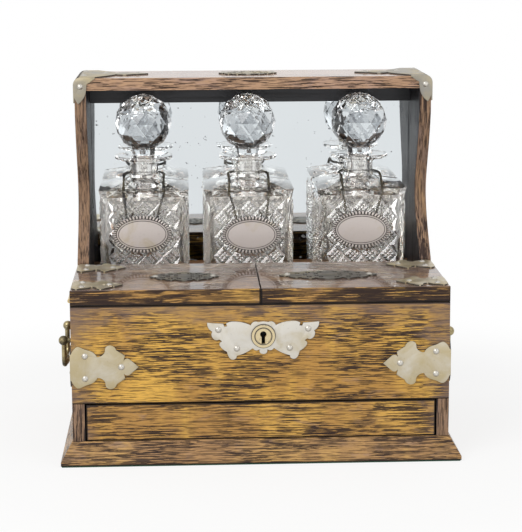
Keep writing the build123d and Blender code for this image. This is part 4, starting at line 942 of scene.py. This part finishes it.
def evenly_along(points, pitch):
    """Points and directions at an even pitch along a smooth line through the points."""
    line = []
    ghost = [2 * points[0] - points[1], *points, 2 * points[-1] - points[-2]]
    for a, b, c, d in zip(ghost, ghost[1:], ghost[2:], ghost[3:]):
        for index in range(SPANS):
            t = index / SPANS
            bend = (2 * a - 5 * b + 4 * c - d) * t**2 + (3 * b - a - 3 * c + d) * t**3
            line.append(0.5 * (2 * b + (c - a) * t + bend))
    line.append(points[-1])
    total = sum((b - a).length for a, b in zip(line, line[1:]))
    count = round(total / pitch)
    wanted = total / count
    places, walked, target = [], 0.0, 0.0
    for a, b in zip(line, line[1:]):
        step = (b - a).length
        while target <= walked + step + 1e-9 and len(places) <= count:
            share = (target - walked) / step if step else 0.0
            places.append((a.lerp(b, share), (b - a).normalized()))
            target += wanted
        walked += step
    return places


def chain_link():
    """One oval link, flat on XY, with its long side along X."""
    size = settings("labels")
    shape = bmesh.new()
    wire = bmesh.ops.create_circle(shape, segments=6, radius=size.wire * MM)["verts"]
    bmesh.ops.rotate(shape, verts=wire, matrix=Matrix.Rotation(math.radians(90), 3, "X"))
    bmesh.ops.translate(shape, verts=wire, vec=(size.link * MM, 0, 0))
    bmesh.ops.spin(
        shape,
        geom=shape.verts[:] + shape.edges[:],
        cent=(0, 0, 0),
        axis=(0, 0, 1),
        angle=math.tau,
        steps=12,
        use_merge=True,
    )
    bmesh.ops.scale(shape, verts=shape.verts, vec=(1.18, 0.86, 1.0))
    bmesh.ops.recalc_face_normals(shape, faces=shape.faces)
    return mesh_of(shape, "chain_link")


def chain_links(name):
    """Oval links, each turned a quarter from the last."""
    size = settings("labels")
    link = chain_link()
    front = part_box("decanter_" + name)[0][1]
    shape = bmesh.new()
    pitch = 2 * (size.link * 1.18 - size.wire) * MM
    for index, (point, along) in enumerate(evenly_along(chain_points(name), pitch)):
        outward = Vector((0, -1, 0)) if point.y < front else Vector((0, 0, 1))
        side = along.cross(outward).normalized()
        if index % 2:
            side = side.cross(along).normalized()
        turn = Matrix((along, side.cross(along), side)).transposed().to_4x4()
        before = len(shape.verts)
        shape.from_mesh(link)
        shape.verts.ensure_lookup_table()
        bmesh.ops.transform(shape, matrix=Matrix.Translation(point) @ turn, verts=shape.verts[before:])
    bpy.data.meshes.remove(link)
    return shape


class TANTALUS_OT_labels(bpy.types.Operator):
    """Oval silver labels on chains round the necks"""

    bl_idname = "tantalus.labels"
    bl_label = "Labels and chains"

    def execute(self, context):
        size = settings("labels")
        tint = settings("colours")
        chain = metal("chain_silver", times(0.36, tint.silver_warm), tint.ebonised_and_shade, rough=0.25, wear=0.85)
        for name in PLACES:
            body = "decanter_" + name
            back = label_place(name).y
            hollow = [back - (size.thick + depth) * MM for depth in (0.38, 0.72)]
            plate = silver_plate(
                "label_silver_" + name, tint.label, warm=0.10, polish=0.44, hollow=hollow, rims=0.0
            )
            node = "decanter_label_" + name
            finish_piece("label_" + name, label_plate(name), plate, body, (node,), sharp=40.0)
            finish_piece("chain_" + name, chain_links(name), chain, body, sharp=60.0)
        return {"FINISHED"}


# ---------------------------------------------------------------- case


class TANTALUS_OT_case(bpy.types.Operator):
    """Oak, lining wood, baize and mirror of the case, lids and drawer"""

    bl_idname = "tantalus.case"
    bl_label = "Woodwork"

    def execute(self, context):
        tint = settings("colours")
        low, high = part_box("front_panel")
        half = (high[0] - low[0]) / 2
        worn = ((0, half - 30 * MM, half + 4 * MM),)
        topped = (*worn, (2, high[2] - 30 * MM, high[2] + 8 * MM))
        # Dark lines along the front panel's top and bottom edges, round the drawer front, and where the lids
        # meet each other and the front panel: painted shade in the gaps between parts.
        panel_gap_shade = ((2, low[2]), (2, high[2]))
        split = ((0, 0.3 * MM), (2, high[2] + 0.5 * MM))
        # A dark line along the plinth's foot: partly the baize underneath and partly painted shadow.
        foot = ((2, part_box("plinth_front")[0][2]),)
        low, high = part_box("drawer_front")
        drawer_gap_shade = ((0, high[0]), (2, low[2]), (2, high[2]))
        for node, made in (
            ("front_panel", oak("oak_front", "X", age=0.12, seed=0.83, ends=topped, seams=panel_gap_shade)),
            ("drawer_front", oak("oak_drawer", "X", age=0.25, seed=1.73, ends=worn, seams=drawer_gap_shade)),
            ("base_rail", oak("oak_rail", "X", age=0.5, seed=2.9)),
            ("plinth_front", oak("oak_plinth_front", "X", age=0.70, seed=3.37, grime=0.02, seams=foot)),
            ("plinth_sides", oak("oak_plinth_sides", "Y", age=0.70, seed=4.11, grime=0.02, seams=foot)),
            ("hood_board", oak("oak_hood", "X", age=1.1, seed=9.4, grime=-0.025, gloss=0.7, fade=1.45)),
        ):
            paint(node, made)
        for name in SIDES:
            # Each side panel's inner face is painted near black as painted shade.
            inner = min(abs(corner[0]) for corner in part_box("side_panel_" + name))
            panel = oak(
                "oak_side_" + name, "Z", age=1.3, seed=5.3 + len(name), grime=0.005, painted_shade_at=inner, fade=0.76
            )
            lid = oak(
                "oak_lid_" + name, "X", age=0.30, seed=7.7 + len(name), grime=0.075, gloss=1.0, seams=split
            )
            paint("side_panel_" + name, panel)
            paint("lid_" + name, lid)
        lining = plain_wood("lining_wood", tint.lining)
        paint_all(lining, "base_board", "back_panel", "well_back_lining", "dust_board")
        bare = plain_wood("bare_wood", tint.bare)
        paint_all(bare, "well_platform", "well_partition", "drawer_back", "drawer_bottom")
        endways = plain_wood("bare_wood_sides", tint.bare, "Y")
        paint_all(endways, "drawer_runners", "well_dividers", "drawer_sides")
        paint("mirror_rail", plain_wood("ebonised_rail", tint.ebonised_and_shade, rough=0.35))
        paint_all(cloth("green_baize", tint.baize), "baize_underlay", "baize_linings")
        paint("mirror_glass", old_mirror("old_mirror"))
        return {"FINISHED"}


class TANTALUS_OT_mounts(bpy.types.Operator):
    """Silver-plated strapwork mounts with eased edges"""

    bl_idname = "tantalus.mounts"
    bl_label = "Mounts"

    def execute(self, context):
        tint = settings("colours")
        warm = silver_plate("strap_silver", tint.silver, warm=0.50)
        cool = silver_plate("escutcheon_silver", tint.silver, warm=0.18)
        dull = silver_plate("dull_silver", times(0.45, tint.silver), warm=0.30, polish=0.34)
        black = silver_plate("plaque_silver", times(0.32, tint.silver), warm=0.15, polish=0.42, rims=1.0)
        for node, body, plate in (
            ("strap_mounts", "case", warm),
            ("escutcheon_plate", "case", cool),
            ("hood_end_mounts", "case", dull),
            ("hood_centre_mount", "case", dull),
            ("lid_straps_left", "lid_left", warm),
            ("lid_straps_right", "lid_right", warm),
            ("lid_plaque_left", "lid_left", black),
            ("lid_plaque_right", "lid_right", black),
        ):
            shape = merged_copy(node)
            ease_edges(shape, width=0.5)
            finish_piece("eased_" + node, shape, plate, body, (node,), sharp=35.0)
        # The rims setting darkens the domes' steep sides: painted shade round each pin's highlight.
        pins = silver_plate("pin_silver", times(1.1, tint.silver), warm=0.05, polish=0.14, rims=0.34)
        paint_all(pins, "case_pins", "lid_pins_left", "lid_pins_right")
        return {"FINISHED"}


class TANTALUS_OT_ironwork(bpy.types.Operator):
    """Hinges, lock, handles, plunger and keyhole ring"""

    bl_idname = "tantalus.ironwork"
    bl_label = "Hinges, lock and handles"

    def execute(self, context):
        tint = settings("colours")
        red, green, blue = tint.brass
        pale = times(1.05, (red, 1.12 * green, 1.7 * blue))
        edges = ((7.5, 8.3), (10.8, 12.0))
        # The ring's rims are darkened, partly as dirt and partly as painted shade.
        ring = metal("keyhole_brass", pale, tint.tarnish_and_shade, rough=0.24, wear=0.2, rings=edges, rims=0.8)
        paint("keyhole_ring", ring)
        # The lock is painted near black round its keyhole: painted shade in the keyhole.
        keyhole_shade = ((-9.0, 9.0),)
        lock = metal("lock_brass", tint.brass, times(0.05, tint.tarnish_and_shade), rough=0.3, wear=0.3, rings=keyhole_shade)
        paint_all(lock, "lock_case", "lock_cover")
        brass = metal("polished_brass", tint.brass, times(0.12, tint.brass), rough=0.2, wear=0.3)
        paint_all(brass, "lock_link_left", "lock_link_right", "drawer_spring", "drawer_plunger")
        paint_all(brass, "case_hinge_leaves", "lid_hinge_leaves_left", "lid_hinge_leaves_right")
        old = metal("handle_brass", tint.old_brass, times(0.15, tint.old_brass), rough=0.28, wear=0.6)
        paint_all(old, "handle_posts", "handle_bail_left", "handle_bail_right")
        steel = metal("plain_steel", tint.steel, (0.08, 0.07, 0.06), rough=0.3, wear=0.3)
        paint_all(steel, "hinge_pins", "lock_bolt")
        return {"FINISHED"}


# ---------------------------------------------------------------- stage


class TANTALUS_OT_stage(bpy.types.Operator):
    """Pale floor, soft light and the camera"""

    bl_idname = "tantalus.stage"
    bl_label = "Stage"

    def execute(self, context):
        self.make_floor()
        self.make_light(context)
        self.make_camera(context)
        return {"FINISHED"}

    def make_floor(self):
        """A wide floor that looks white and keeps a soft shadow near the case."""
        look = settings("stage")
        finish = Finish("pale_floor")
        finish.set(base_color=look.floor, roughness=0.9)
        far = finish.step(finish.distance(finish.place()), 0.30, 0.60)
        white = finish.seen() * (look.whiteness + (1.0 - look.whiteness) * far)
        finish.cover(white, finish.node("ShaderNodeEmission", inputs={"Color": (1, 1, 1), "Strength": 1.0}))
        shape = bmesh.new()
        bmesh.ops.create_grid(shape, x_segments=1, y_segments=1, size=8.0)
        mesh = mesh_of(shape, "floor")
        mesh.materials.append(finish.material)
        floor = bpy.data.objects.new("floor", mesh)
        bpy.context.scene.collection.objects.link(floor)

    def make_light(self, context):
        """Even light from all round, white where it is seen, and two large lamps."""
        look = settings("stage")
        world = bpy.data.worlds.new("studio")
        world.use_nodes = True
        context.scene.world = world
        sky = Finish("studio", world)
        strength = look.ambient + (1.0 - look.ambient) * sky.seen()
        sky.feed(sky.tree.nodes["Background"].inputs["Color"], (1, 1, 1))
        sky.feed(sky.tree.nodes["Background"].inputs["Strength"], strength)
        for name, power, place, size in (
            ("key_lamp", look.key, (-1.3, -1.6, 1.7), 1.4),
            ("fill_lamp", look.fill, (1.6, -1.3, 1.2), 1.6),
        ):
            lamp = bpy.data.lights.new(name, "AREA")
            lamp.energy = power
            lamp.size = size
            holder = bpy.data.objects.new(name, lamp)
            holder.location = place
            aim = Vector((0, 0, 0.17)) - Vector(place)
            holder.rotation_euler = aim.to_track_quat("-Z", "Y").to_euler()
            context.scene.collection.objects.link(holder)

    def make_camera(self, context):
        """The camera at the photograph's angle."""
        look = settings("stage")
        lens = bpy.data.cameras.new("camera")
        lens.sensor_width = SENSOR
        lens.lens = look.reach * SENSOR / max(PHOTO_WIDTH, PHOTO_HEIGHT)
        camera = bpy.data.objects.new("camera", lens)
        camera.location = look.camera
        turn = Matrix.Rotation(-look.yaw, 4, "Z") @ Matrix.Rotation(math.pi / 2 - look.pitch, 4, "X")
        turn = turn @ Matrix.Rotation(-look.roll, 4, "Z")
        camera.rotation_euler = turn.to_euler()
        context.scene.collection.objects.link(camera)
        context.scene.camera = camera
        context.scene.view_settings.view_transform = "Standard"
        for kind, bounces in (("max", 28), ("glossy", 14), ("transmission", 24)):
            setattr(context.scene.cycles, kind + "_bounces", bounces)


# ---------------------------------------------------------------- panel and start


class TANTALUS_PT_panel(bpy.types.Panel):
    """Lists the pieces and their settings"""

    bl_idname = "TANTALUS_PT_panel"
    bl_label = "Tantalus"
    bl_space_type = "VIEW_3D"
    bl_region_type = "UI"
    bl_category = "Tantalus"

    def draw(self, context):
        for step in STEPS:
            self.layout.operator(step.bl_idname)
        for group in GROUPS:
            box = self.layout.box()
            for name in GROUPS[group].__annotations__:
                box.prop(settings(group), name)


GROUPS = {
    "colours": TANTALUS_PG_colours,
    "glass": TANTALUS_PG_glass,
    "labels": TANTALUS_PG_labels,
    "stage": TANTALUS_PG_stage,
}
STEPS = (
    TANTALUS_OT_case,
    TANTALUS_OT_mounts,
    TANTALUS_OT_ironwork,
    TANTALUS_OT_decanters,
    TANTALUS_OT_stoppers,
    TANTALUS_OT_labels,
    TANTALUS_OT_stage,
)


def register():
    """Makes the settings, operators and panel known to Blender."""
    for made in (*GROUPS.values(), *STEPS, TANTALUS_PT_panel):
        bpy.utils.register_class(made)
    for name, group in GROUPS.items():
        setattr(bpy.types.Scene, "tantalus_" + name, bpy.props.PointerProperty(type=group))


def unregister():
    """Takes them away again."""
    for name in GROUPS:
        delattr(bpy.types.Scene, "tantalus_" + name)
    for made in (TANTALUS_PT_panel, *reversed(STEPS), *GROUPS.values()):
        bpy.utils.unregister_class(made)


def main():
    """Builds everything."""
    register()
    for step in STEPS:
        group, name = step.bl_idname.split(".")
        getattr(getattr(bpy.ops, group), name)()


if __name__ == "__main__":
    main()
